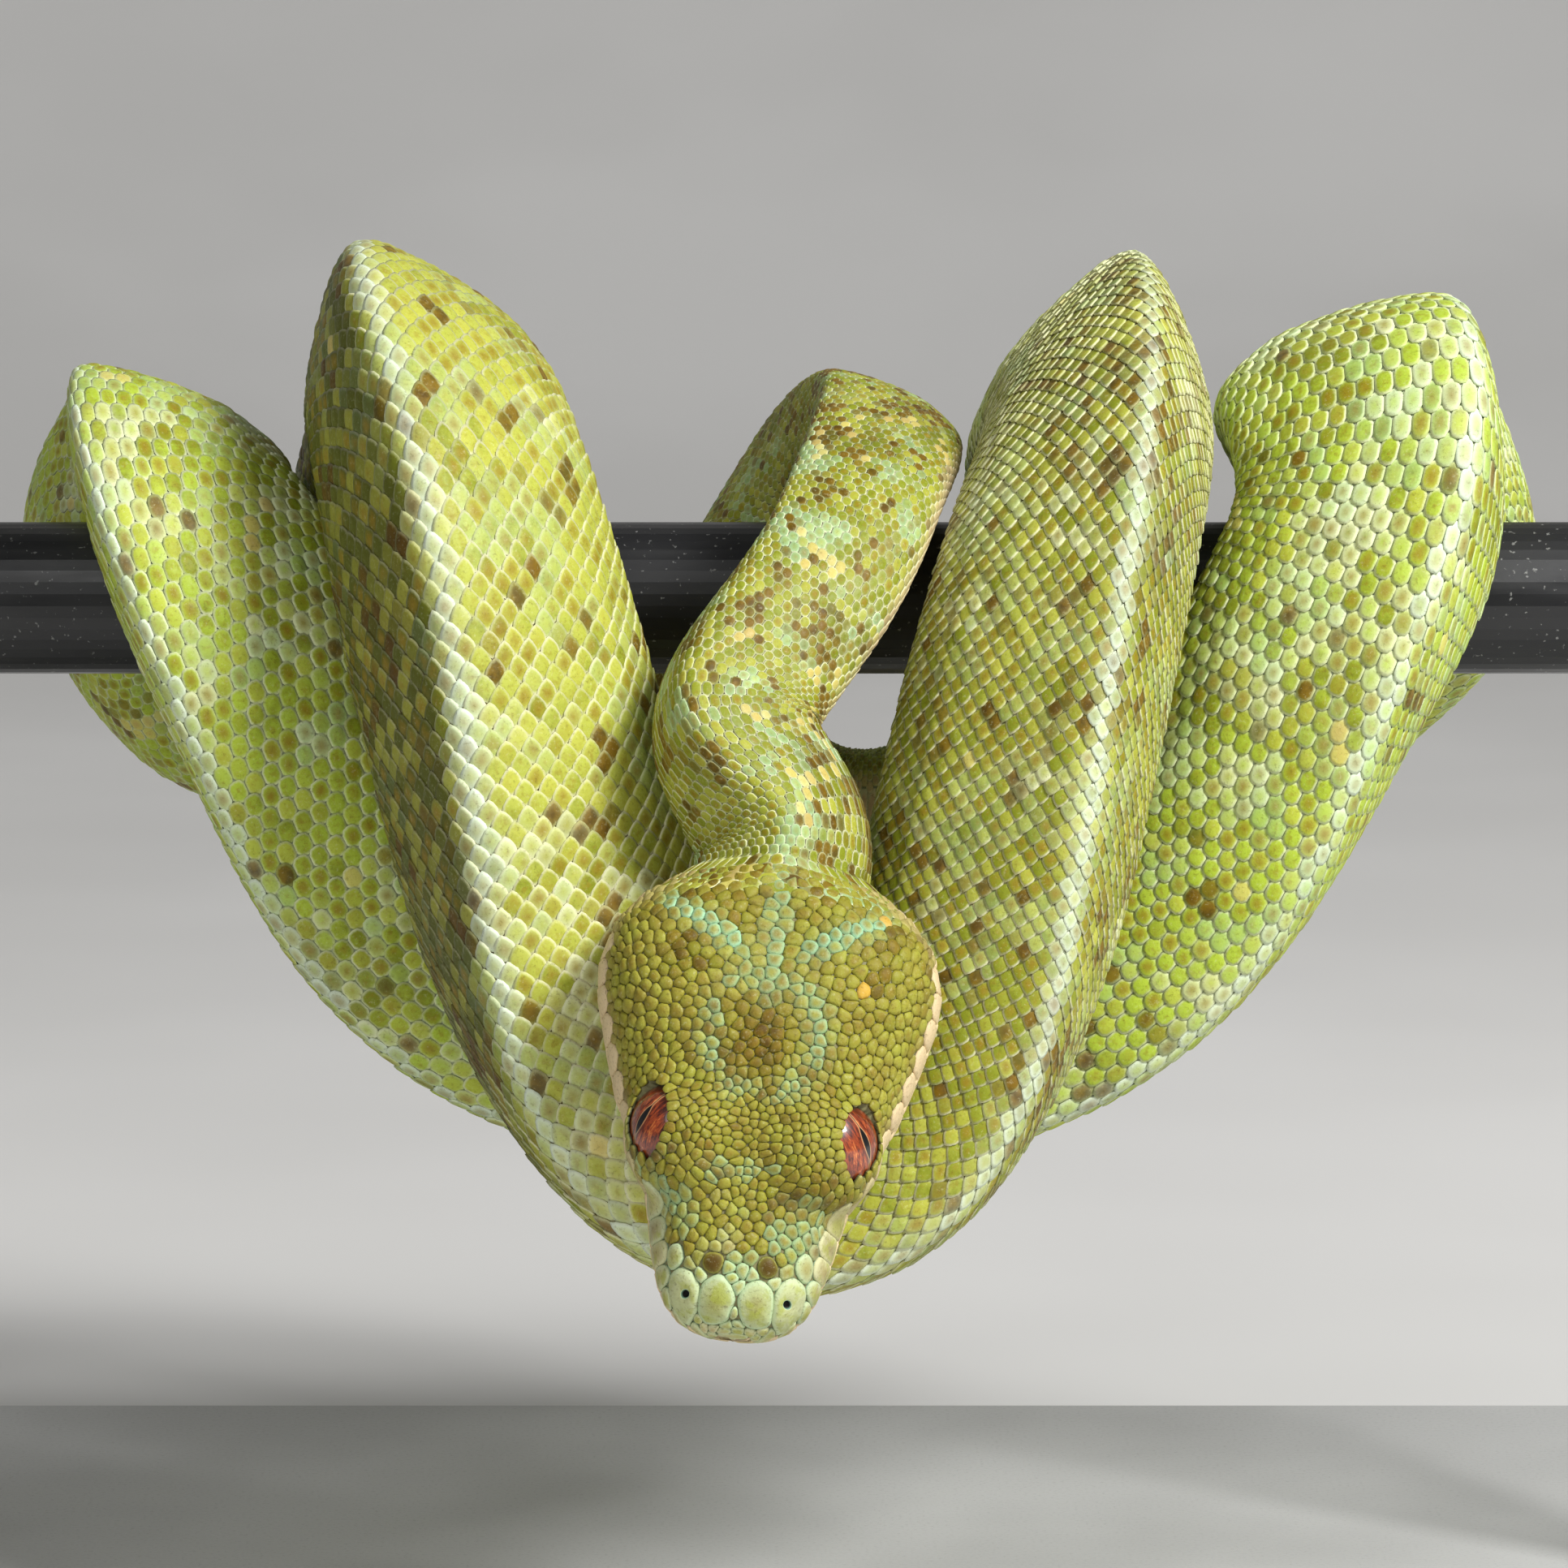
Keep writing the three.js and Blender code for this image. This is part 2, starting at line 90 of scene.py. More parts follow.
TAIL = (
    ((-80.5, 12, 17), (-0.85, 0.34, 0.94), (25.5, 35)),
    ((-97, 25, 1), (-1.5, 0.9, 0.4), (27, 30)),
    ((-79, 40, -25), (-1, 1, -0.2), (27, 28)),
    ((-75, 65, -18), (-0.5, 1, 0), (25, 26)),
    ((-58, 83, -9), (-0.3, 1, 0.2), (23, 23)),
    ((-32, 89, -10), (0, 1, 0.2), (20, 20)),
    ((-8, 86, -12), (0, 1, 0.2), (17, 17)),
    ((14, 80, -12), (0.2, 1, 0.2), (13.5, 13.5)),
    ((30, 71, -11), (0.5, 1, 0.2), (10, 10)),
    ((37, 60, -9), (1, 0.5, 0.2), (7, 7)),
    ((30, 52, -12), (0.6, -1, 0.2), (4, 4)),
)


def unit(v):
    return v / norm(v, axis=-1, keepdims=True)


def mix(a, b, k):
    return a + (b - a) * k


def run_up(steps):
    """The length run after each step, from 0."""
    return np.concatenate([np.zeros_like(steps[..., :1]), np.cumsum(steps, -1)], -1)


def smooth(low, high, v):
    k = np.clip((v - low) / (high - low), 0, 1)
    return k * k * (3 - 2 * k)


def limb(end, shape):
    x0, crest, lean, wide, tall, taper, slim = end
    side, reach, low_reach, bottom, under, low_wide, low_tall = shape
    rows = []
    for i, (across, out, down, face, low) in enumerate(FRONT_LIMB if side < 0 else REAR_LIMB):
        turn, grown = face * pi / 2, min(1, i / 2)
        at = (x0 * across * (1 if i == 0 else taper), side * mix(reach * out, low_reach, low),
              mix(crest, bottom, down))
        back = (copysign(lean[ROW_LEANS[i]], x0), side * sin(turn), cos(turn) - under * low)
        rows.append((at, back, (mix(wide, low_wide * slim, grown), mix(tall, low_tall, grown))))
    return rows


def sling(first, second, shape):
    return limb(first, shape) + limb(second, shape)[::-1]


head_back = unit(NAPE - SNOUT)
head_up = unit(HEAD_UP - head_back * (HEAD_UP @ head_back))
head_side = np.cross(head_back, head_up)
head_long = float(norm(NAPE - SNOUT))

controls = [(tuple(NAPE + head_back * d), tuple(HEAD_UP), (22.5, 17.6)) for d in (-NAPE_LEAD, 0, NAPE_LEAD)]
controls += list(NECK)
controls += sling(INNER_RIGHT, INNER_LEFT, INNER_SLING)
controls += sling(REAR_LEFT, REAR_RIGHT, REAR_SLING)
controls += sling(OUTER_RIGHT, OUTER_LEFT, OUTER_SLING)
controls += list(TAIL)
PLACES, BACKS, SIZES = (np.array([row[i] for row in controls], float) for i in range(3))
PLACES = np.vstack([PLACES, 2 * PLACES[-1] - PLACES[-2]])
BACKS = np.vstack([BACKS, BACKS[-1]])
SIZES = np.vstack([SIZES, 2 * SIZES[-1] - SIZES[-2]])


def spline(values, u, slope=False):
    i = np.minimum(np.floor(u).astype(int), len(values) - 3)
    k = (u - i)[:, None]
    if slope:
        w = (-(1 - k) ** 2 / 2, (3 * k ** 2 - 4 * k) / 2, (-3 * k ** 2 + 2 * k + 1) / 2, k ** 2 / 2)
    else:
        w = ((1 - k) ** 3 / 6, (3 * k ** 3 - 6 * k ** 2 + 4) / 6,
             (-3 * k ** 3 + 3 * k ** 2 + 3 * k + 1) / 6, k ** 3 / 6)
    return sum(w[n] * values[i - 1 + n] for n in range(4))


PATH_STEPS = 6000
u_table = np.linspace(1, len(PLACES) - 2, PATH_STEPS)
at_table = spline(PLACES, u_table)
along_table = unit(spline(PLACES, u_table, True))
up_table = spline(BACKS, u_table)
up_table = unit(up_table - along_table * (up_table * along_table).sum(1, keepdims=True))
side_table = np.cross(along_table, up_table)
size_table = spline(SIZES, u_table)
arc_table = head_long + run_up(norm(np.diff(at_table, axis=0), axis=1))
BODY_END = float(arc_table[-1])

# ---- cross-sections
BELLY_POWER, RIDGE, WIDEST = 0.8, 0.5, 1.101
HEAD = np.array((   # back from the snout, half width, crown, jaw
    (0.0, 3.2, 3.4, 1.6), (0.6, 5.2, 5.2, 2.6), (1.6, 7.0, 6.6, 3.5), (3.4, 8.7, 7.9, 4.5),
    (5.5, 9.8, 8.8, 5.2), (9.6, 11.1, 9.6, 6.2), (15.7, 12.4, 10.5, 7.0), (21.7, 14.5, 12.4, 7.7),
    (27.7, 17.3, 13.8, 8.3), (33.8, 19.2, 14.4, 9.0), (39.8, 20.8, 14.5, 9.6), (43.9, 21.1, 14.0, 9.8),
    (49.9, 19.6, 12.6, 9.4), (53.9, 17.4, 11.0, 9.1), (58.5, 11.3, 9.0, 8.8),
))
HEAD_SQUARE = (2.35, 2.5)
NAPE_BLEND = (48, 58.5)
MOUTH_BACK = 46.0
HEAD_BUMPS = (   # at, angle, rise, long, wide
    (23.5, 0.8, 0.9, 5.5, 0.28), (45, 0.75, 0.9, 8, 0.4),
    (49, 0, -1.3, 7, 0.22), (14.5, 1.15, -0.8, 4.5, 0.3),
)
EYE = {"at": 23.4, "out": 10.6, "up": 8.7, "radius": 4.9, "thick": 3.4, "tilt": 0.75}
NOSTRIL = {"at": 3.9, "out": 6.1, "up": 6.4}


def body_section(a, wide, tall):
    s, c = np.sin(a), np.cos(a)
    out = s * (1 - RIDGE * c) / WIDEST * wide / 2
    up = np.where(c > 0, c, -np.abs(c) ** BELLY_POWER) * tall / 2
    return out, up


def body_normal(a, wide, tall):
    s, c = np.sin(a), np.cos(a)
    d_out = (c - RIDGE * np.cos(2 * a)) / WIDEST * wide / 2
    d_up = np.where(c > 0, -s, -BELLY_POWER * np.maximum(np.abs(c), 0.03) ** (BELLY_POWER - 1) * s) * tall / 2
    long = np.hypot(d_out, d_up) + 1e-9
    return -d_up / long, d_out / long


def head_section(station, a):
    half, crown, jaw = (np.interp(station, HEAD[:, 0], HEAD[:, i]) for i in (1, 2, 3))
    s, c = np.sin(a), np.cos(a)
    power = 2 / np.where(c > 0, HEAD_SQUARE[0], HEAD_SQUARE[1])
    turn = np.abs((a + pi) % (2 * pi) - pi)
    bump = sum(rise * np.exp(-((station - at) / long) ** 2) * np.exp(-((turn - angle) / wide) ** 2)
               for at, angle, rise, long, wide in HEAD_BUMPS)
    out = np.sign(s) * np.abs(s) ** power * half + s * bump
    up = np.sign(c) * np.abs(c) ** power * np.where(c > 0, crown, jaw) + c * bump
    k = smooth(*NAPE_BLEND, station)
    neck_out, neck_up = body_section(a, half * 2, crown + jaw)
    return mix(out, neck_out, k), mix(up, neck_up, k)


def head_base(g, a):
    """A point of the head's surface; g from -1 to 0 closes the tip of the snout."""
    close = np.clip(1 + g, 0, 1)
    out, up = head_section(np.maximum(g, 0), a)
    station = np.maximum(g, 0)[:, None]
    return SNOUT + head_back * station + head_side * (out * close)[:, None] + head_up * (up * close)[:, None]


def surface(g, a, h, perch_gap=0.35, closed_lids=False):
    """Points g mm back from the snout, at angle a from the backbone, h mm above the solids' surface."""
    g, a, h = (np.asarray(v, float) for v in np.broadcast_arrays(g, a, h))
    points = np.empty(g.shape + (3,))
    on_head = g < head_long
    if on_head.any():
        gh, ah, hh = g[on_head], a[on_head], h[on_head]
        p = head_base(gh, ah)
        dg = np.where(gh < -0.1, 0.05, 0.25)
        across = head_base(gh, ah + 0.02) - head_base(gh, ah - 0.02)
        back = head_base(gh + dg, ah) - head_base(gh - np.minimum(dg, gh + 1), ah)
        n = np.cross(across, back)
        long = norm(n, axis=1, keepdims=True)
        n = np.where(long > 1e-7, n / np.maximum(long, 1e-9), -head_back)
        points[on_head] = p + n * hh[:, None] + around_eyes(p - n * COAT, closed_lids)
    gb, ab, hb = g[~on_head], a[~on_head], h[~on_head]
    f = np.interp(gb, arc_table, np.arange(len(arc_table)))
    i = np.clip(f.astype(int), 0, len(arc_table) - 2)
    k = (f - i)[:, None]
    at, up, side = (mix(t[i], t[i + 1], k) for t in (at_table, up_table, side_table))
    size = mix(size_table[i], size_table[i + 1], k)
    out, rise = body_section(ab, size[:, 0], size[:, 1])
    n_out, n_up = body_normal(ab, size[:, 0], size[:, 1])
    p = at + side * (out + n_out * hb)[:, None] + up * (rise + n_up * hb)[:, None]
    points[~on_head] = off_perch(p, at, PERCH_RADIUS + perch_gap)
    points[..., 2] += PERCH_HEIGHT
    return points


def off_perch(p, centre, radius):
    """Moves points that lie inside the perch out of it, towards the middle of the body."""
    flat, c = p[:, 1:], unit(centre[:, 1:])
    r2 = (flat ** 2).sum(1)
    along = (flat * c).sum(1)
    push = np.where(r2 < radius ** 2, -along + np.sqrt(np.maximum(along ** 2 - r2 + radius ** 2, 0)), 0)
    moved = p.copy()
    moved[:, 1:] += c * push[:, None]
    return moved


# ---- eyes: where they sit and how the skin meets them
def eye_axes(sign):
    """The eye's centre, its outward axis and the one towards the crown; sign +1 is the viewer's right."""
    out_dir, c, s = head_side * sign, cos(EYE["tilt"]), sin(EYE["tilt"])
    centre = SNOUT + head_back * EYE["at"] + out_dir * EYE["out"] + head_up * EYE["up"]
    return centre, out_dir * c + head_up * s, -out_dir * s + head_up * c


ALMOND_LONG, ALMOND_TALL = 4.7, 3.7
LID_TURN, LID_SLOPE = 0.78, 4.2     # where the lid leaves the ball, in eye radii, and its fall from there
COAT = 0.75        # depth of the coat, from the solids' surface to the skin


def almond(x, y):
    """Below 1 inside the eye's opening: pointed at its front and rear corners."""
    return np.abs(x / ALMOND_LONG) ** 1.7 + np.abs(y / ALMOND_TALL) ** 1.5


def around_eyes(p, closed):
    """How far the skin moves at points p: up to the lids, and under the ball inside the eye's opening."""
    moves = np.zeros_like(p)
    for sign in (1, -1):
        centre, outward, tangent = eye_axes(sign)
        d = p - centre
        z, x, y = d @ outward, d @ head_back, d @ tangent
        r = np.hypot(x, y) / EYE["radius"]
        ball = EYE["thick"] * np.sqrt(np.clip(1 - r ** 2, 0, 1))
        near = (z > -5) & (r < 2.0)
        lid = EYE["thick"] * np.sqrt(1 - np.minimum(r, LID_TURN) ** 2)
        lid = lid - LID_SLOPE * np.maximum(r - LID_TURN, 0) + 0.2
        over = (z + lid + np.sqrt((z - lid) ** 2 + 0.5)) / 2
        lifted = mix(over, z, smooth(1.3, 1.9, r))
        if not closed:
            lifted = np.where(almond(x, y) < 1, np.minimum(z, ball - 0.6), lifted)
        moves += outward * np.where(near, lifted - z, 0)[:, None]
    return moves


# ---- noise and markings
HASH_PRIMES = np.array((73856093, 19349663, 83492791))


def noise(p, size, seed):
    """Smooth value noise from 0 to 1 at points in mm."""
    q = p / size + seed * 17.31
    i = np.floor(q).astype(np.int64)
    k = q - i
    k = k * k * (3 - 2 * k)
    total = 0
    for corner in np.ndindex(2, 2, 2):
        n = np.bitwise_xor.reduce((i + corner) * HASH_PRIMES, axis=1) ^ seed * 2654435
        n = (n ^ (n >> 13)) * 1274126177 & 0xFFFFFFFF
        weight = np.where(corner, k, 1 - k).prod(1)
        total = total + weight * (((n ^ (n >> 16)) & 0xFFFF) / 65535.0)
    return total


def layered(p, size, seed):
    return 0.6 * noise(p, size, seed) + 0.4 * noise(p, size * 0.45, seed + 1)


MARKS = ("brown", "pale", "mint", "orange", "belly", "shade", "ridge", "olive")
# Stretches of the body, in mm back from the snout: start, full, fading, end.
NECK_SIDE = (66, 80, 140, 165)
THIRD_LOOP = (330, 370, 480, 500)       # loops are counted from the left of the picture
MIDDLE_LOOPS = (330, 370, 640, 670)     # the second and third
PAINTED_SHADE_FLANK = (495, 530, 655, 672)       # the second's front, whose left flank gets painted shade
SCATTER, HEAD_SCATTER = 977.0, 613.0    # turn a scale's random number into another one


def stretch(g, start, full, fading, end):
    return smooth(start, full, g) * smooth(end, fading, g)


def markings(g, t, p, pick):
    """The marks at points p, g mm back from the snout and t from backbone (0) to mid-belly (1).
    pick is a random number of each scale, the same over all of it."""
    turn, jitter = np.abs(t), pick - 0.5
    front, middle, third = smooth(300, 160, g), stretch(g, *MIDDLE_LOOPS), stretch(g, *THIRD_LOOP)
    # Painted shade: the left flank (t below zero) of the second loop's front is darkened as if turned from
    # the light, and loses its pale and mint marks.
    painted_shade_flank = stretch(g, *PAINTED_SHADE_FLANK) * smooth(-0.01, -0.1, t)
    by_ridge = np.exp(-((turn - 0.08) / 0.08) ** 2) * smooth(455, 400, g)
    patch = layered(p, 4.4, 3) + 0.55 * jitter + 0.11 * front - 0.04 * smooth(640, 670, g)
    patch = patch + third * (0.03 + 0.13 * by_ridge) - 0.04 * smooth(880, 920, g)
    brown = smooth(0.68, 0.88, patch) * smooth(0.9, 0.6, turn)
    zone = layered(p, 15.0, 11) - 0.04 * middle + 0.24 * (noise(p, 4.0, 5) - 0.5) + 0.26 * jitter
    pale = smooth(0.58, 0.82, zone) * (1 - 0.8 * front) * (1 - 0.8 * brown) * (1 - painted_shade_flank)
    ridge = np.exp(-((turn + 0.03 * jitter) / 0.027) ** 2) * smooth(300, 420, g)
    ridge = ridge * smooth(0.15, 0.6, noise(p, 5.0, 7) + 0.25)
    mint = smooth(0.57, 0.67, layered(p, 6.5, 21) + 0.24 * jitter) * (0.4 + 0.32 * front - 0.1 * middle)
    mint = mint * (1 - brown) * (1 - 0.6 * painted_shade_flank)
    straw_share = 0.001 + 0.3 * smooth(0.66, 0.76, layered(p, 9.0, 31)) * (1 - 0.92 * middle)
    orange = ((pick * SCATTER) % 1.0 < straw_share).astype(float)
    neck_side = stretch(g, *NECK_SIDE) * smooth(0.2, 0.4, t)
    belly = smooth(0.74, 0.88, turn + 0.05 * (noise(p, 6.0, 41) - 0.5) + 0.15 * neck_side)
    # The tone: random, darker on the neck, with painted shade over the third loop and over the second loop's
    # left flank.
    shade = layered(p, 22.0, 51) - 0.48 * front - 0.2 * third - painted_shade_flank
    olive = np.maximum(middle, 0.8 * front)
    return dict(zip(MARKS, (brown, pale, mint, orange, belly, shade, ridge, olive)), pick=pick)


# ---- meshes
def put_in_scene(name, data):
    obj = bpy.data.objects.new(name, data)
    scene.collection.objects.link(obj)
    return obj


def make_mesh(name, points, blocks, attributes, flat_faces=None, uv=None):
    """A mesh from points in mm and blocks of faces: arrays with the corners of one face in each row."""
    mesh = bpy.data.meshes.new(name)
    mesh.vertices.add(len(points))
    mesh.vertices.foreach_set("co", (points * 0.001).astype(np.float32).ravel())
    corners = np.concatenate([block.ravel() for block in blocks])
    sizes = np.repeat([block.shape[1] for block in blocks], [len(block) for block in blocks])
    mesh.loops.add(len(corners))
    mesh.loops.foreach_set("vertex_index", corners.astype(np.int32))
    mesh.polygons.add(len(sizes))
    mesh.polygons.foreach_set("loop_start", (np.cumsum(sizes) - sizes).astype(np.int32))
    mesh.update(calc_edges=True)
    for key, values in attributes.items():
        layer = mesh.attributes.new(key, "FLOAT", "POINT")
        layer.data.foreach_set("value", np.asarray(values, np.float32))
    sharp = mesh.attributes.get("sharp_face") or mesh.attributes.new("sharp_face", "BOOLEAN", "FACE")
    sharp.data.foreach_set("value", np.zeros(len(sizes), bool) if flat_faces is None else flat_faces)
    if uv is not None:
        layer = mesh.uv_layers.new(name="OFBake")
        layer.data.foreach_set("uv", uv[corners].astype(np.float32).ravel())
    mesh.validate()
    return put_in_scene(name, mesh)


def repeated_mesh(name, points, faces, edge, flat, marks, uv):
    """A mesh of many pieces with the same faces: edge and flat are one piece's, marks a value for each."""
    count, per = len(marks["pick"]), len(edge)
    block = (faces[None] + (np.arange(count) * per)[:, None, None]).reshape(-1, faces.shape[1])
    attributes = {key: np.repeat(values, per) for key, values in marks.items()}
    attributes["edge"] = np.tile(edge, count)
    return make_mesh(name, points, [block], attributes, np.tile(flat, count), uv)


def grid_quads(rows, cols, closed=False):
    """Quads of a grid of points; a closed grid joins its last column to its first."""
    r, c = np.meshgrid(np.arange(rows - 1), np.arange(cols if closed else cols - 1), indexing="ij")
    b = (c + 1) % cols
    return np.stack([r * cols + c, (r + 1) * cols + c, (r + 1) * cols + b, r * cols + b], -1).reshape(-1, 4)


def tube_blocks(rows, cols):
    """Faces of a tube of points whose ends close on two more points, listed after the rest."""
    ring, end, last = np.arange(cols), rows * cols, (rows - 1) * cols
    after = (ring + 1) % cols
    first_fan = np.column_stack([np.full(cols, end), after, ring])
    last_fan = np.column_stack([np.full(cols, end + 1), last + ring, last + after])
    return grid_quads(rows, cols, True)[:, [0, 3, 2, 1]], first_fan, last_fan


STRIPS = 6


def unwrap(g, t):
    """The skin's own unwrap: the body's length in strips side by side, t across each from -1 to 1."""
    run = np.clip((g + 1) / (BODY_END + 1), 0, 0.99999) * STRIPS
    strip = np.floor(run)
    u = 0.01 + 0.98 * (run - strip)
    v = (strip + 0.5 + 0.47 * np.clip(t, -1, 1)) / STRIPS
    return np.stack([u, v], -1)


# The share of the way round from backbone to mid-belly, against the angle.
angle_table = np.linspace(0, pi, 721)
_o, _u = body_section(angle_table, 1.0, 1.0)
_run = run_up(np.hypot(np.diff(_o), np.diff(_u)))
HALF_ROUND = float(_run[-1])
share_table = _run / HALF_ROUND


def angle_of(t):
    return np.sign(t) * np.interp(np.abs(t), share_table, angle_table)


def half_round(g):
    """Length of the skin from backbone to mid-belly."""
    wide, tall = (np.interp(g, arc_table, size_table[:, i]) for i in (0, 1))
    return HALF_ROUND * (wide + tall) / 2


SKIN_SIDES, SKIN_STEPS = 132, (0.5, 2.2)      # points round the body; mm between rows on head and body


def tube_skin():
    g = np.concatenate([np.linspace(-1, 0, 6)[1:-1], np.arange(0, head_long, SKIN_STEPS[0]),
                        np.arange(head_long, BODY_END - 1, SKIN_STEPS[1])])
    a = np.linspace(0, 2 * pi, SKIN_SIDES, endpoint=False)
    gg, aa = np.repeat(g, SKIN_SIDES), np.tile(a, len(g))
    sink = np.minimum(COAT, 0.12 * np.interp(gg, arc_table, size_table[:, 0]))
    ends = [surface(np.array([end]), np.zeros(1), h) for end, h in ((-1.0, -COAT), (BODY_END, -0.5))]
    points = np.vstack([surface(gg, aa, -sink, perch_gap=0.9), *ends])
    signed = (aa + pi) % (2 * pi) - pi
    t = np.append(np.sign(signed) * np.interp(np.abs(signed), angle_table, share_table), [0, 0])
    gg = np.append(gg, [-1, BODY_END])
    marks = markings(gg, t, points, np.full(len(gg), 0.5))
    marks["edge"] = np.full(len(gg), 2.0)
    return make_mesh("python_skin", points, tube_blocks(len(g), SKIN_SIDES), marks, uv=unwrap(gg, t))


def both_sides(half):
    return np.array(half + tuple((x, -y) for x, y in half[-2:0:-1]))


# A scale's outline in shares of the row spacing back and of its width across, from its free tip round.
ROUND_TIP = both_sides(((0.62, 0), (0.57, 0.31), (0.31, 0.485), (-0.24, 0.495), (-0.52, 0.32), (-0.6, 0)))
POINTED_TIP = both_sides(((1.22, 0), (0.94, 0.19), (0.48, 0.37), (-0.1, 0.465), (-0.6, 0.3), (-0.96, 0)))
FREE_EDGE = (7, 8, 9, 0, 1, 2, 3)       # outline corners that carry the free edge's wall
WIDE_SCALES, FEWER_COLUMNS = (352, 650), 498      # stretch with pointed scales; where they widen further


def scale_points(outline):
    """Local (back, across, height) points of one scale."""
    def high(x):
        return 0.08 + 0.2 * (x + 0.75)

    rim = np.column_stack([outline, high(outline[:, 0])])
    ring = outline * 0.66 + (0.03, 0)
    inner = np.column_stack([ring, high(ring[:, 0]) + 0.11])
    centre = np.array([[0.04, 0.0, high(0.04) + 0.15]])
    wall = np.array([(*outline[i] * 0.97, 0.0) for i in FREE_EDGE])
    return np.vstack([rim, inner, centre, wall])


def scale_faces():
    n = len(ROUND_TIP)
    edge = np.concatenate([np.ones(n), np.full(n, 0.5), [0], np.full(len(FREE_EDGE), 2.0)])
    faces = []
    for i in range(n):
        j = (i + 1) % n
        faces += [(2 * n, n + j, n + i), (n + i, j, i), (n + i, n + j, j)]
    for k, (i, j) in enumerate(zip(FREE_EDGE, FREE_EDGE[1:])):
        low = 2 * n + 1 + k
        faces += [(i, low + 1, low), (i, j, low + 1)]
    return edge, np.array(faces), np.arange(len(faces)) >= 3 * n


def lattice(g, half):
    """Columns on each side, width of a scale and spacing of the rows, half being backbone to mid-belly."""
    wide_scales = WIDE_SCALES[0] < g < WIDE_SCALES[1]
    most = (17 if g < FEWER_COLUMNS else 14) if wide_scales else 19
    steps = ((most, 24), (15, 17), (10, 11), (7, 6.5), (5, 0))
    columns = next(n for n, least in steps if half >= least)
    wide = half * 0.86 / (columns + 0.5)
    return columns, wide, wide * (0.46 if wide_scales else 0.9)


LATTICE_START, SCALE_PIECES = 53.5, 8


def lay_scales():
    """Places of the body's scales: rows from nape to tail tip, every other row half a scale across."""
    places = []
    g, row = LATTICE_START, 0
    while g < BODY_END - 2.5:
        half = half_round(g)
        columns, wide, pitch = lattice(g, half)
        odd = row % 2
        spots = np.arange(-columns, columns + 1 - odd) + 0.5 * odd
        if g < head_long:
            reach = 0.3 + 0.56 * smooth(LATTICE_START, 58.5, g)
            spots = spots[np.abs(spots * wide / half) < reach]
        places += [(g, t, wide, half, pitch) for t in spots * wide / half]
        g += pitch
        row += 1
    return np.array(places)


def scale_pieces():
    places = lay_scales()
    edge, faces, flat = scale_faces()
    blunt, sharp = scale_points(ROUND_TIP), scale_points(POINTED_TIP)
    per = len(blunt)
    n = len(places)
    g0, t0, wide, half, pitch = places.T
    pick = rng.random(n)
    grow = 0.96 + 0.07 * rng.random(n)
    twist = (rng.random(n) - 0.5) * 0.14
    high = 0.8 + 0.4 * rng.random(n)
    pointed = (g0 > WIDE_SCALES[0]) & (g0 < WIDE_SCALES[1])
    point = np.clip(pointed + 0.25 * (rng.random(n) - 0.5), 0, 1)[:, None, None]
    x, y, z = np.moveaxis(mix(blunt[None], sharp[None], point), 2, 0)
    c, s = np.cos(twist)[:, None], np.sin(twist)[:, None]
    g = g0[:, None] + (x * c - y * s) * (pitch * grow)[:, None]
    t = t0[:, None] + (x * s + y * c) * (wide * grow / half)[:, None]
    tall = np.minimum(wide / 2.3, 1.0)
    h = -COAT * np.minimum(1, 0.25 + tall)[:, None] + z * (tall * high)[:, None]
    g = np.minimum(g, BODY_END - 0.2)
    points = surface(g.ravel(), angle_of(np.clip(t, -1, 1)).ravel(), h.ravel())
    centres = points.reshape(n, per, 3)[:, 2 * len(ROUND_TIP)]
    marks = markings(g0, t0, centres, pick)
    root = unwrap(g0, t0)
    uv = (root[:, None] + np.stack([x, 2 * y], -1) * 0.0014).reshape(-1, 2)
    cuts = np.linspace(0, n, SCALE_PIECES + 1).astype(int)
    made = []
    for i, (low, past) in enumerate(zip(cuts, cuts[1:])):
        part = slice(low * per, past * per)
        own = {key: values[low:past] for key, values in marks.items()}
        made.append(repeated_mesh(f"scales_{i + 1}", points[part], faces, edge, flat, own, uv[part]))
    return made


def belly_plates():
    """Broad plates under the body, one for every two rows of scales, each with a free rear edge."""
    across = np.linspace(-1, 1, 7)
    along = np.array([-1.0, 0.0, 0.75, 1.12, 1.08])
    lift = np.array([0.05, 0.24, 0.42, 0.46, 0.02])
    edge_along = np.array([0.9, 0.2, 0.5, 1.0, 2.0])
    starts, g = [], head_long - 2
    while g < BODY_END - 6:
        half = half_round(g)
        pitch = 2.4 * min(1.0, half / 45)
        starts.append((g, pitch, half))
        g += pitch
    starts = np.array(starts)
    n, rows, cols = len(starts), len(along), len(across)
    start, pitch, half = (column[:, None, None] for column in starts.T)
    g = start + along[None, :, None] * pitch / 2 * (1 - 0.12 * across ** 2)[None, None]
    t = 1 - 0.155 * across[None, None] * np.ones((n, rows, 1))
    tall = np.minimum(half / 48, 1)
    h = -COAT * np.minimum(1, 0.25 + tall) + lift[None, :, None] * tall * (1 - 0.5 * across ** 4)
    angle = np.where(t > 1, 2 * pi - angle_of(np.clip(2 - t, 0, 1)), angle_of(np.clip(t, 0, 1)))
    points = surface(g.ravel(), angle.ravel(), h.ravel())
    quads = grid_quads(rows, cols)
    centres = points.reshape(n, rows * cols, 3).mean(1)
    marks = markings(starts[:, 0], np.ones(n), centres, rng.random(n))
    edge = np.maximum(edge_along[:, None], np.abs(across)[None] ** 6 * 1.1)
    tt = np.clip(np.where(t > 1, t - 2, t), -1, 1).ravel()
    uv = unwrap(g.ravel(), np.sign(tt) * (0.97 + 0.03 * np.abs(tt)))
    flat = quads[:, 0] // cols == rows - 2
    return repeated_mesh("belly_plates", points, quads, edge.ravel(), flat, marks, uv)


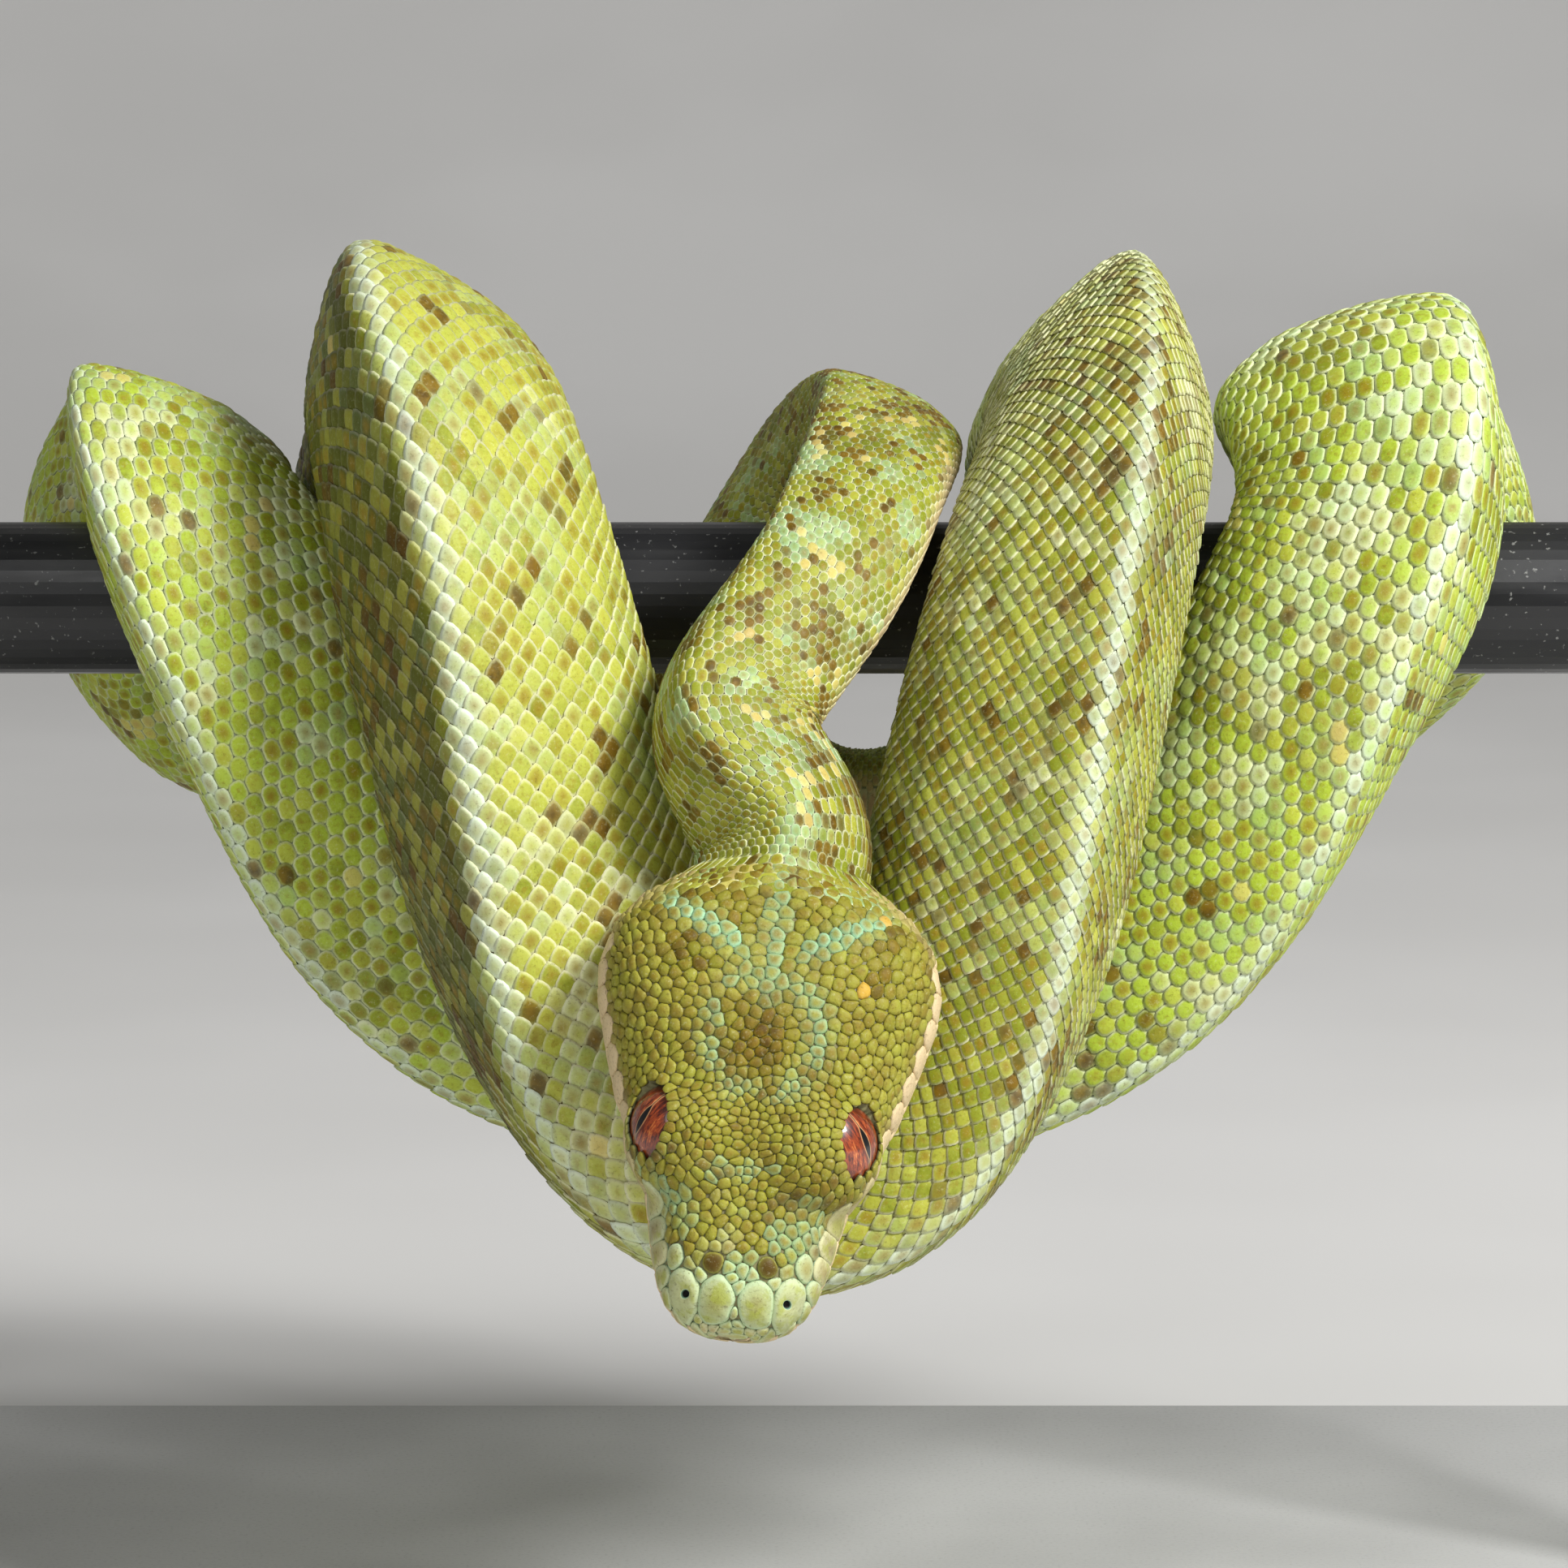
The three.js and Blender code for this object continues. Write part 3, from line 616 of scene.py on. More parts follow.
# ---- head scales: cells round seeds on an unrolled chart
# The chart is the head's surface unrolled: x across from the crown's midline, y back from the snout's tip.
HEAD_END, SPOKES = 56.6, 181
chart_g = np.concatenate([np.linspace(-1, 0, 9)[:-1], np.linspace(0, 58, 117)])
chart_a = np.linspace(0, pi, SPOKES)
_rings = head_base(np.repeat(chart_g, SPOKES), np.tile(chart_a, len(chart_g)))
_rings = (_rings + around_eyes(_rings, True)).reshape(len(chart_g), SPOKES, 3)
ring_run = run_up(norm(np.diff(_rings, axis=1), axis=2))
ring_half, ring_mouth = np.maximum(ring_run[:, -1], 1e-4), ring_run[:, SPOKES // 2]
angle_of_share = np.array([np.interp(np.linspace(0, 1, SPOKES), run / full, chart_a)
                           for run, full in zip(ring_run, ring_half)])
angle_of_share[0] = angle_of_share[1]
_back = np.maximum(chart_g, 0)
_radius = sum(np.interp(_back, HEAD[:, 0], HEAD[:, i]) for i in (1, 2)) / 2 * np.clip(1 + chart_g, 0, 1)
chart_y = run_up(np.hypot(np.diff(_back), np.diff(_radius)))
CHART_END = float(np.interp(HEAD_END, chart_g, chart_y))


def chart_row(g):
    return float(np.interp(g, chart_g, chart_y))


def mouth_at(y):
    return np.interp(y, chart_y, ring_mouth)


def full_at(y):
    return np.interp(y, chart_y, ring_half)


def from_chart(x, y):
    """Distance back and angle of chart points."""
    y = np.clip(y, 0, chart_y[-1])
    f = np.interp(y, chart_y, np.arange(len(chart_y)))
    i = np.clip(f.astype(int), 0, len(chart_y) - 2)
    k = f - i
    share = np.clip(np.abs(x) / np.maximum(full_at(y), 1e-4), 0, 1) * (SPOKES - 1)
    j = np.clip(share.astype(int), 0, SPOKES - 2)
    m = share - j
    low, high = (mix(angle_of_share[row, j], angle_of_share[row, j + 1], m) for row in (i, i + 1))
    return np.interp(y, chart_y, chart_g), np.sign(x) * mix(low, high, k)


def nearest_on_chart(g, spokes, miss):
    """Chart point of the cross-section at g where miss(out, up) is least."""
    i = np.argmin(miss(*head_section(np.full(len(spokes), float(g)), spokes)))
    return float(np.interp(g, chart_g, ring_run[:, i])), chart_row(g)


def to_chart(g, out, up):
    """Chart point of the surface nearest to (out, up) in the cross-section at g."""
    x, y = nearest_on_chart(g, chart_a, lambda o, u: np.hypot(o - abs(out), u - up))
    return copysign(x, out), y


def eye_ring(sign, offset, count):
    """Chart points round the eye's opening, offset mm outside it."""
    ring, c, s = [], cos(EYE["tilt"]), sin(EYE["tilt"])
    for n in range(count):
        turn = 2 * pi * n / count
        cx, cy, reach = cos(turn), sin(turn), 1.0
        for _ in range(30):
            reach *= 1 / max(almond(cx * reach, cy * reach), 1e-6) ** 0.5
        x, y = cx * (reach + offset), cy * (reach + offset)
        run, row = nearest_on_chart(EYE["at"] + x, chart_a[:SPOKES // 2 + 1], lambda o, u: np.abs(
            (o - EYE["out"]) * -s + (u - EYE["up"]) * c - y))
        ring.append((sign * run, row))
    return ring


GRANULE, LIP, SNOUT_PLATE, LID, NOSTRIL_PLATE, SPOT, OPEN = range(7)      # kinds of head scale
MOST_SEEDS, TRIES = 7000, 90000
PACKING = 0.865         # least squared distance of two seeds, over the square of their radii's sum
LID_SEEDS = 20          # round each eye's opening
OUTLINE_STEP = 0.95     # between the seeds along a plate's outline
FIRST_LIP, LIP_GAP = 4.6, 0.12


def head_plates():
    """Large scales: kind, x, y, half width, half length."""
    plates = [(LIP, 0.0, 1.9, 1.9, 0.95), (SNOUT_PLATE, 0.0, chart_row(1.9), 0.8, 1.0)]
    for sign in (1, -1):
        nx, ny = to_chart(NOSTRIL["at"], NOSTRIL["out"] * sign, NOSTRIL["up"])
        plates += [
            (NOSTRIL_PLATE, nx + sign * 0.9, ny - 0.7, 2.5, 3.8),
            (SNOUT_PLATE, sign * 2.5, ny - 1.3, 2.1, 3.5),
            (SPOT, sign * 3.4, ny + 3.9, 1.25, 1.25),
            (SNOUT_PLATE, nx + sign * 2.2, ny + 4.6, 1.3, 1.5),
        ]
        y = FIRST_LIP
        while y < chart_row(MOUTH_BACK):
            tall = 1.2 + smooth(16, 32, y)
            upper = 1.2 + 1.7 * smooth(6, 15, y)
            long = 1.25 + 0.45 * smooth(8, 24, y)
            x = mouth_at(y)
            plates += [(LIP, sign * (x - upper), y, upper, long), (LIP, sign * (x + tall), y, tall, long)]
            y += 2 * long + LIP_GAP
    return plates


def head_seeds():
    """Seeds of the head's scales: places, kinds, and the plate each belongs to, or -1."""
    fixed = []
    for n, (kind, x, y, wide, long) in enumerate(head_plates()):
        for shrink in (1.0, 0.5, 0.0):
            rx, ry = (wide - 0.5) * shrink, (long - 0.5) * shrink
            count = max(1, round(2 * pi * sqrt((rx ** 2 + ry ** 2) / 2) / OUTLINE_STEP))
            if shrink and count < 3:
                continue
            for i in range(count):
                turn = 2 * pi * (i + 0.5) / count
                fixed.append((x + rx * cos(turn), y + ry * sin(turn), 0.5, kind, n))
    for sign in (1, -1):
        for kind, offset in ((LID, 0.62), (OPEN, -0.62)):
            fixed += [(x, y, 0.6, kind, -1) for x, y in eye_ring(sign, offset, LID_SEEDS)]
        ex, ey = to_chart(EYE["at"], (EYE["out"] + 2) * sign, EYE["up"] + 1.2)
        fixed += [(ex, ey + dy, 1.6, OPEN, -1) for dy in (0, 1.8, -1.8)]
    seeds, count = np.zeros((MOST_SEEDS, 3)), len(fixed)
    seeds[:count] = [seed[:3] for seed in fixed]
    tries = rng.random((TRIES, 2))
    tx, ty = (tries[:, 0] * 2 - 1) * float(ring_half.max()), tries[:, 1] * CHART_END
    inside = np.abs(tx) < full_at(ty)
    for x, y in zip(tx[inside], ty[inside]):
        r = granule_radius(x, y)
        d = (seeds[:count, 0] - x) ** 2 + (seeds[:count, 1] - y) ** 2
        if count < MOST_SEEDS and (d >= (seeds[:count, 2] + r) ** 2 * PACKING).all():
            seeds[count] = x, y, r
            count += 1
    seeds = seeds[:count, :2]
    kinds, owners = np.array([seed[3:] for seed in fixed] + [(GRANULE, -1)] * (count - len(fixed))).T
    places = head_base(*from_chart(*seeds.T))
    for sign in (1, -1):
        centre, outward, tangent = eye_axes(sign)
        d = places - centre
        kinds[(d @ outward > -5) & (almond(d @ head_back, d @ tangent) < 1) & (kinds == GRANULE)] = OPEN
    return seeds, kinds, owners


to_eye = to_chart(EYE["at"], EYE["out"], EYE["up"] + 2)


def granule_radius(x, y):
    """About half a scale's width on the head: finest between the eyes, largest on the lores and jaw."""
    front = chart_row(23)
    between_eyes = exp(-((y - front) / 8) ** 2) * exp(-(x / 8) ** 2)
    muzzle = smooth(front, 8, y) * min(1.0, abs(x) / 8)
    below = 0.32 if abs(x) > mouth_at(y) else 0.0
    eye_x, eye_y = to_eye
    by_eye = exp(-((y - eye_y) / 6) ** 2 - ((abs(x) - eye_x + 3) / 4.5) ** 2)
    radius = 0.62 - 0.2 * between_eyes + 0.2 * muzzle + 0.1 * smooth(30, 54, y) + below
    return radius * (1 - 0.12 * by_eye)


def ghosts(points):
    """Mirror images of the outermost seeds, which close the cells at the chart's edge."""
    x, y = points.T
    near, rear, front = np.abs(x) > full_at(y) - 4, y > CHART_END - 4, y < 4
    side_x = np.sign(x) * (2 * full_at(y)) - x
    corners = np.array([(-80.0, -20.0), (80, -20), (-80, 90), (80, 90)])
    return np.vstack([np.column_stack([side_x, y])[near], np.column_stack([x, 2 * CHART_END - y])[rear],
                      np.column_stack([x, -y - 0.5])[front], corners])


def cells(points, owners):
    """The corners of each cell, in turn round it. Seeds with one owner share a cell, under the first."""
    every = np.vstack([points, ghosts(points)])
    verts, _, faces, sources, _, _ = delaunay_2d_cdt([tuple(p) for p in every], [], [], 0, 1e-7)
    v = np.array([tuple(p) for p in verts])
    tri = np.array([f for f in faces if len(f) == 3])
    a, b, c = (v[tri[:, i]] for i in range(3))
    ab, ac = b - a, c - a
    cross = 2 * (ab[:, 0] * ac[:, 1] - ab[:, 1] * ac[:, 0])
    cross = np.where(np.abs(cross) < 1e-9, 1e-9, cross)
    bb, cc = (ab ** 2).sum(1), (ac ** 2).sum(1)
    rise = np.column_stack([ac[:, 1] * bb - ab[:, 1] * cc, ab[:, 0] * cc - ac[:, 0] * bb])
    centre = a + rise / cross[:, None]
    first, label = {}, np.arange(len(every))
    for i, owner in enumerate(owners):
        if owner >= 0:
            label[i] = first.setdefault(owner, i)
    rounds = {}
    for n, corners in enumerate(tri):
        around = {int(label[sources[vertex][0]]) for vertex in corners if sources[vertex]}
        if len(around) > 1:
            for one in around:
                rounds.setdefault(one, []).append(n)
    made = {}
    for i in np.unique(label[:len(points)]).tolist():
        at = points[label[:len(points)] == i].mean(0)
        ring = at + np.clip(centre[rounds[i]] - at, -5.0, 5.0)
        ring = ring[np.argsort(np.arctan2(*(ring - at).T[::-1]))]
        keep = norm(ring - np.roll(ring, 1, 0), axis=1) > 0.06
        ring = ring[keep] if keep.sum() >= 3 else ring
        if owners[i] >= 0:
            for _ in range(3):
                ring = ring / 2 + (np.roll(ring, 1, 0) + np.roll(ring, -1, 0)) / 4
        made[i] = ring
    return made


def middle(ring):
    x, y = ring[:, 0], ring[:, 1]
    x2, y2 = np.roll(x, -1), np.roll(y, -1)
    cross = x * y2 - x2 * y
    area = cross.sum() / 2
    if abs(area) < 1e-6:
        return ring.mean(0)
    return np.array([((x + x2) * cross).sum(), ((y + y2) * cross).sum()]) / (6 * area)


CROWN_RING, TEMPLE_STREAK = 34.5, 43        # mm back from the snout


def head_marks(x, y, p, pick, kind):
    """The head's marks; y is back from the snout."""
    jitter, across = pick - 0.5, np.abs(x)
    plate = (kind == SNOUT_PLATE) | (kind == NOSTRIL_PLATE)
    ring_y = chart_row(CROWN_RING)
    brown = 0.8 * smooth(0.56, 0.74, layered(p, 6.0, 61) + 0.36 * jitter) * smooth(9, 20, y)
    brown = np.maximum(brown, 1.15 * np.exp(-(x / 3.0) ** 2 - ((y - ring_y) / 4.8) ** 2))
    ring = np.hypot(x / 6.5, (y - ring_y) / 7.5)
    broken = smooth(0.35, 0.6, noise(p, 4.5, 65) + 0.3 * jitter + 0.08)
    mint = 0.65 * np.exp(-((ring - 1) / 0.22) ** 2) * broken
    streak = np.exp(-((y - (chart_row(TEMPLE_STREAK) + across * 0.62)) / 1.6) ** 2)
    streak = streak * smooth(2, 5, across) * smooth(17, 13, across)
    mottle = smooth(0.52, 0.64, layered(p, 4.0, 71) + 0.2 * jitter) * smooth(34, 22, y)
    midline = np.exp(-(x / 1.3) ** 2) * smooth(40, 46, y)
    mint = np.maximum.reduce([mint, streak * 1.1, 0.7 * midline, 0.6 * mottle])
    pale = 0.35 * smooth(0.5, 0.7, layered(p, 6.0, 81) + 0.2 * jitter) * smooth(30, 12, y)
    tip = smooth(chart_row(8.5), chart_row(6.0), y)
    pale = np.where(plate, 0.75, np.maximum(pale, 0.7 * tip))
    mint = np.where(plate, 0.45, np.maximum(mint, 0.4 * tip))
    brown = np.where(kind == SPOT, 0.45, np.where(plate, 0, brown * (1 - tip)))
    mouth = mouth_at(y)
    lip = (kind == LIP) | ((across > mouth - 2.2) & (y < chart_row(50)))
    pale = np.where(lip, 0.75 * smooth(32, 16, y), np.where(kind == SPOT, 0, pale))
    peach = np.where(lip, 0.15 + 0.85 * smooth(18, 34, y), smooth(mouth - 8, mouth - 2.5, across) * 0.35)
    belly = np.clip(np.where(across > mouth, 1.0, peach), 0, 1)
    orange = ((pick * HEAD_SCATTER) % 1.0 < 0.005 + 0.12 * (mint > 0.75)).astype(float) * smooth(36, 42, y)
    shade = np.clip(0.25 + 0.5 * layered(p, 11.0, 91) + 0.25 * smooth(30, 10, y), 0, 1)
    brown, bare, none = np.clip(brown, 0, 1), 1 - belly, 0 * x
    values = (brown * bare, pale, mint * bare * (1 - brown), orange, belly, shade, none, none + 1)
    return dict(zip(MARKS, values), pick=pick, spot=(kind == SPOT).astype(float))


def head_scales():
    seeds, kinds, owners = head_seeds()
    free = (kinds == GRANULE) & (owners < 0)
    for _ in range(3):
        for i, ring in cells(seeds, owners).items():
            if free[i]:
                seeds[i] = mix(seeds[i], middle(ring), 0.7)
    parts = {"head_scales": [], "jaw_scales": []}
    for i, ring in cells(seeds, owners).items():
        if kinds[i] != OPEN and len(ring) >= 3:
            x, y = middle(ring)
            parts["head_scales" if abs(x) < mouth_at(y) else "jaw_scales"].append((ring, kinds[i]))
    return [head_piece(name, part) for name, part in parts.items()]


CREASE_WIDTH, PIT_FLOOR = 0.03, 0.06
CROWNS = {GRANULE: 0.23, LIP: 0.22, SNOUT_PLATE: 0.26, LID: 0.22, NOSTRIL_PLATE: 0.34, SPOT: 0.36}


def head_piece(name, part):
    """One mesh of head scales, each a low dome over its cell; a nostril's scale has a pit."""
    corners, faces, flat, owner, info = [], [], [], [], []
    base = 0
    for n, (ring, kind) in enumerate(part):
        centre = middle(ring)
        span = float(norm(ring - centre, axis=1).mean())
        if len(ring) < 10:
            nxt = np.roll(ring, -1, 0)
            ring = np.stack([mix(ring, nxt, 0.24), mix(ring, nxt, 0.76)], 1).reshape(-1, 2)
        outline = centre + (ring - centre) * (1 - CREASE_WIDTH / max(span, 0.3))
        m = len(outline)
        crown = CROWNS[kind] * min(1.0, span / 0.8) * rng.uniform(0.85, 1.15)
        rim, shrink = (0.2, 0.66) if kind == GRANULE else (0.24, 0.8)
        tilt = 0.16 * smooth(34, 54, centre[1]) if kind == GRANULE else 0.0
        lean = tilt * (outline[:, 1] - centre[1]) / max(span, 0.3)
        inner, lower = (centre + (outline - centre) * k for k in (shrink, 1.05))
        rows = [(outline, rim + lean, 1.0), (inner, rim + 0.8 * crown + 0.6 * lean, 0.5), (lower, -0.1, 2.0)]
        bands, last, top = [(0, 1)], 1, (centre[None], rim + crown, 0.0)
        if kind == NOSTRIL_PLATE:
            pit = np.array(to_chart(NOSTRIL["at"], copysign(NOSTRIL["out"], centre[0]), NOSTRIL["up"]))
            spoke, high = unit(inner - pit), rim + crown
            rows += [(pit + spoke * (0.72, 0.66), high, 0.4), (pit + spoke * (0.56, 0.48), high - 0.15, 2.4),
                     (pit + spoke * (0.44, 0.36), PIT_FLOOR, 3.0)]
            bands, last, top = [(0, 1), (1, 3), (3, 4), (4, 5)], 5, (pit[None], PIT_FLOOR, 3.0)
        for xy, h, e in rows + [top]:
            corners.append(np.column_stack([xy, np.broadcast_to(h, len(xy)), np.full(len(xy), e)]))
        j, k = np.arange(m), (np.arange(m) + 1) % m
        inmost = base + last * m
        faces.append(np.column_stack([inmost + j, inmost + k, np.full(m, base + len(rows) * m)]))
        for low, high in bands + [(2, 0)]:
            r1, r2 = base + low * m, base + high * m
            faces += [np.column_stack([r1 + j, r1 + k, r2 + k]), np.column_stack([r1 + j, r2 + k, r2 + j])]
        flat += [np.zeros(m * (1 + 2 * len(bands)), bool), np.ones(2 * m, bool)]
        base += len(rows) * m + 1
        owner.append(np.full(len(rows) * m + 1, n))
        info.append((*centre, kind))
    corners, owner, info = np.vstack(corners), np.concatenate(owner), np.array(info)
    chart = corners[:, :2]
    g, a = from_chart(*chart.T)
    points = surface(np.minimum(g, head_long - 0.01), a, corners[:, 2] - COAT, closed_lids=True)
    cg, ca = from_chart(info[:, 0], info[:, 1])
    centres = surface(np.minimum(cg, head_long - 0.01), ca, np.zeros(len(cg)))
    marks = head_marks(info[:, 0], info[:, 1], centres, rng.random(len(info)), info[:, 2])
    attributes = {key: values[owner] for key, values in marks.items()}
    attributes["edge"] = corners[:, 3]
    root = np.column_stack([0.5 + info[:, 0] / 110, 0.02 + info[:, 1] / 80])
    uv = root[owner] + (chart - info[owner, :2]) * 0.0018
    return make_mesh(name, points, [np.vstack(faces)], attributes, np.concatenate(flat), uv)


# ---- eyes
def eye_piece(name, sign):
    """A smooth flattened ball; iris_x runs back along the head and iris_y towards the crown, both -1 to 1."""
    centre, outward, tangent = eye_axes(sign)
    rings, sides = 40, 64
    polar, turn = np.linspace(0, pi, rings + 1)[1:-1], np.linspace(0, 2 * pi, sides, endpoint=False)
    pp, tt = np.repeat(polar, sides), np.tile(turn, rings - 1)
    x, y = (np.append(np.sin(pp) * wave(tt), (0, 0)) for wave in (np.cos, np.sin))
    z = np.append(np.cos(pp), (1, -1))
    points = (centre + np.outer(z * EYE["thick"], outward) + np.outer(x * EYE["radius"], head_back)
              + np.outer(y * EYE["radius"], tangent))
    points[:, 2] += PERCH_HEIGHT
    blocks = [block[:, ::-sign] for block in tube_blocks(rings - 1, sides)]
    uv = np.column_stack([0.5 + x * 0.45, 0.5 + y * 0.45])
    return make_mesh(name, points, blocks, {"iris_x": x, "iris_y": y, "iris_z": z}, uv=uv)


# ---- materials
class Nodes:
    """A material's node tree, built by short calls."""

    def __init__(self, name):
        self.material = bpy.data.materials.new(name)
        self.material.use_nodes = True
        self.tree = self.material.node_tree
        self.shader = self.tree.nodes["Principled BSDF"]

    def put(self, socket, value):
        if isinstance(value, bpy.types.NodeSocket):
            self.tree.links.new(value, socket)
        elif socket.type == "RGBA":
            socket.default_value = (*value, 1)
        else:
            socket.default_value = value

    def add(self, kind, out, inputs, **settings):
        """The output of a new node, with its inputs put in."""
        node = self.tree.nodes.new("ShaderNode" + kind)
        for key, value in settings.items():
            setattr(node, key, value)
        for key, value in inputs.items():
            self.put(node.inputs[key], value)
        return node.outputs[out]

    def attribute(self, name):
        return self.add("Attribute", "Fac", {}, attribute_name=name)

    def maths(self, operation, a, b=0.0, clamp=False):
        return self.add("Math", 0, {0: a, 1: b}, operation=operation, use_clamp=clamp)

    def times(self, total, *more):
        for value in more:
            total = self.maths("MULTIPLY", total, value)
        return total

    def paint(self, colour, *layers):
        """The colour with layers over it in turn, each a colour and its share."""
        for tint, share in layers:
            colour = self.add("Mix", "Result", {"Factor": share, "A": colour, "B": tint}, data_type="RGBA")
        return colour

    def steps(self, value, low, high, out_low=0.0, out_high=1.0):
        inputs = {"Value": value, "From Min": low, "From Max": high, "To Min": out_low, "To Max": out_high}
        return self.add("MapRange", "Result", inputs, interpolation_type="SMOOTHSTEP")

    def noise(self, scale, detail=3.0, rough=0.55, stretch=None, vector=None, distortion=0.0):
        vector = vector or self.add("TexCoord", "Object", {})
        if stretch:
            vector = self.add("Mapping", "Vector", {"Vector": vector, "Scale": stretch})
        return self.add("TexNoise", "Fac", {"Vector": vector, "Scale": scale, "Detail": detail,
                                            "Roughness": rough, "Distortion": distortion})

    def bump(self, height, strength, distance):
        inputs = {"Strength": strength, "Distance": distance, "Height": height}
        self.put(self.shader.inputs["Normal"], self.add("Bump", "Normal", inputs))

    def finish(self, **sockets):
        for key, value in sockets.items():
            self.put(self.shader.inputs[key.replace("_", " ")], value)
        return self.material


LIME_DARK, LIME, LIME_YELLOW = (0.23, 0.265, 0.014), (0.43, 0.56, 0.045), (0.56, 0.55, 0.075)
OLIVE, BROWN, DARK_BROWN = (0.28, 0.18, 0.01), (0.185, 0.098, 0.004), (0.075, 0.034, 0.002)
PALE, MINT, ORANGE, CREAM = (0.76, 0.8, 0.5), (0.36, 0.62, 0.38), (0.74, 0.42, 0.06), (0.78, 0.6, 0.36)
RIDGE_PALE, TURQUOISE, STRAW = (0.74, 0.84, 0.68), (0.2, 0.37, 0.26), (0.78, 0.62, 0.2)
# The deep olive among these is both the neck's dark tone and the painted shade of the second loop's left
# flank.
GOLD, RIM_CREAM, DEEP_OLIVE_AND_SHADE = (0.45, 0.46, 0.07), (0.78, 0.76, 0.5), (0.095, 0.105, 0.008)
CREASE, CREASE_PALE = (0.15, 0.115, 0.03), (0.5, 0.56, 0.34)
HEAD_LIGHT, HEAD_BROWN, STAIN = (0.42, 0.46, 0.055), (0.235, 0.175, 0.022), (0.36, 0.4, 0.035)
# The near black of the nostril's pit is painted shade for its dark opening.
HEAD_CREASE, NOSTRIL_PAINTED_SHADE = (0.085, 0.075, 0.022), (0.006, 0.004, 0.003)
DIRT, DUST = (0.1, 0.07, 0.008), (0.78, 0.8, 0.5)


def scale_material(name, head=False):
    """The look of skin and scales. The attribute edge runs from 0 at a scale's centre to 1 at its rim,
    2 in the crease and 3 in the nostril; the other marks are those of markings() and head_marks()."""
    n = Nodes(name)
    a, steps, times, paint = n.attribute, n.steps, n.times, n.paint
    edge, pick, olive = a("edge"), a("pick"), a("olive")

    def add(one, other):
        return n.maths("ADD", one, other)

    def chance(turns):
        """Another random number of each scale."""
        return n.maths("FRACT", times(pick, turns))

    def around_half(value, share):
        return times(n.maths("SUBTRACT", value, 0.5), share)

    blotch, speck = n.noise(380, 4, 0.6), n.noise(2100, 3, 0.7)
    centre, brown = steps(edge, 0.8, 0.05), times(a("brown"), steps(edge, 1.0, 0.4, 0.6, 0.92))
    tone = add(add(a("shade"), around_half(pick, 0.7 if head else 0.4)), around_half(blotch, 1.0))
    pale, cream = (PALE, times(a("pale"), steps(edge, 0.0, 0.8, 0.2, 0.85))), (CREAM, times(a("belly"), 0.9))
    straw = (LIME_YELLOW, steps(chance(37.0), 0.45, 0.98, 0.0, 0.45))
    smudge = (OLIVE, times(steps(add(chance(91.0), blotch), 1.0, 1.35, 0.0, 0.75), centre))
    brown_deep = paint(BROWN, (DARK_BROWN, steps(blotch, 0.4, 0.62)))
    tone = steps(tone, 0.05, 0.55)
    if head:
        stain = steps(n.noise(420, 3, 0.6), 0.45, 0.62, 0.0, 0.8)
        crease = paint(HEAD_CREASE, (TURQUOISE, n.maths("MAXIMUM", a("mint"), a("pale"))))
        colour = paint(
            LIME_DARK, (HEAD_LIGHT, tone), straw, smudge, (HEAD_BROWN, steps(blotch, 0.3, 0.7, 0.4, 0.85)),
            (brown_deep, brown), pale, (MINT, times(a("mint"), steps(edge, 0.1, 0.9, 0.12, 0.95))),
            (ORANGE, times(a("orange"), 0.7)), cream,
            (DARK_BROWN, times(a("spot"), steps(edge, 0.9, 0.2, 0.0, 0.9))),
            (STAIN, times(a("pale"), steps(edge, 0.9, 0.4), stain)))
    else:
        # Painted shade: where the shade mark falls below zero, mostly on the second loop's left flank, the
        # colour turns deep olive, its browns darken and its pale rims fade; the neck's darker tone takes some
        # of it too.
        deep_and_shade = steps(a("shade"), 0.05, -0.25)
        mottle = steps(n.noise(900, 3, 0.6), 0.48, 0.66, 0.0, 0.5)
        rim = steps(chance(53.0), 0.0, 1.0, 0.35, 0.9)
        fade = times(steps(a("brown"), 0.0, 1.0, 1.0, 0.5), steps(deep_and_shade, 0.0, 1.0, 1.0, 0.35))
        crease = paint(CREASE_PALE, (CREASE, olive))
        colour = paint(
            LIME_DARK, (paint(LIME, (GOLD, times(olive, 0.8))), tone), (OLIVE, times(mottle, centre)),
            (DEEP_OLIVE_AND_SHADE, deep_and_shade), straw, smudge, (paint(brown_deep, (DARK_BROWN, times(deep_and_shade, 0.7))), brown), pale,
            (MINT, times(a("mint"), steps(edge, 0.0, 0.9, 0.35, 0.85))),
            (STRAW, times(a("orange"), 0.55)), cream,
            (paint(PALE, (RIM_CREAM, olive)), times(steps(edge, 0.52, 1.0), rim, fade)),
            (RIDGE_PALE, times(a("ridge"), steps(edge, 0.1, 0.8, 0.35, 0.85))))
    colour = paint(colour, (DIRT, times(steps(speck, 0.54, 0.7), 0.5 if head else 0.36)),
                   (DUST, times(steps(speck, 0.44, 0.3), 0.18)), (crease, steps(edge, 1.12, 1.7)))
    # Painted shade: the nostril's pit turns near black, standing in for the dark of its opening.
    if head:
        colour = paint(colour, (NOSTRIL_PAINTED_SHADE, steps(edge, 2.2, 2.7)))
    n.bump(add(speck, times(blotch, 0.6)), 0.65 if head else 0.4, 0.00014)
    rough = steps(n.noise(900, 2), 0.3, 0.7, 0.44, 0.62)
    return n.finish(Base_Color=colour, Roughness=rough, Specular_IOR_Level=0.22)


IRIS_DARK, IRIS, IRIS_LIGHT = (0.07, 0.009, 0.004), (0.36, 0.06, 0.013), (0.8, 0.3, 0.07)
IRIS_RIM, SLIT_RIM, SLIT = (0.05, 0.008, 0.004), (0.9, 0.55, 0.25), (0.002, 0.002, 0.002)
SLIT_TURN, SLIT_LONG, SLIT_WIDE = radians(38), 0.42, 0.085


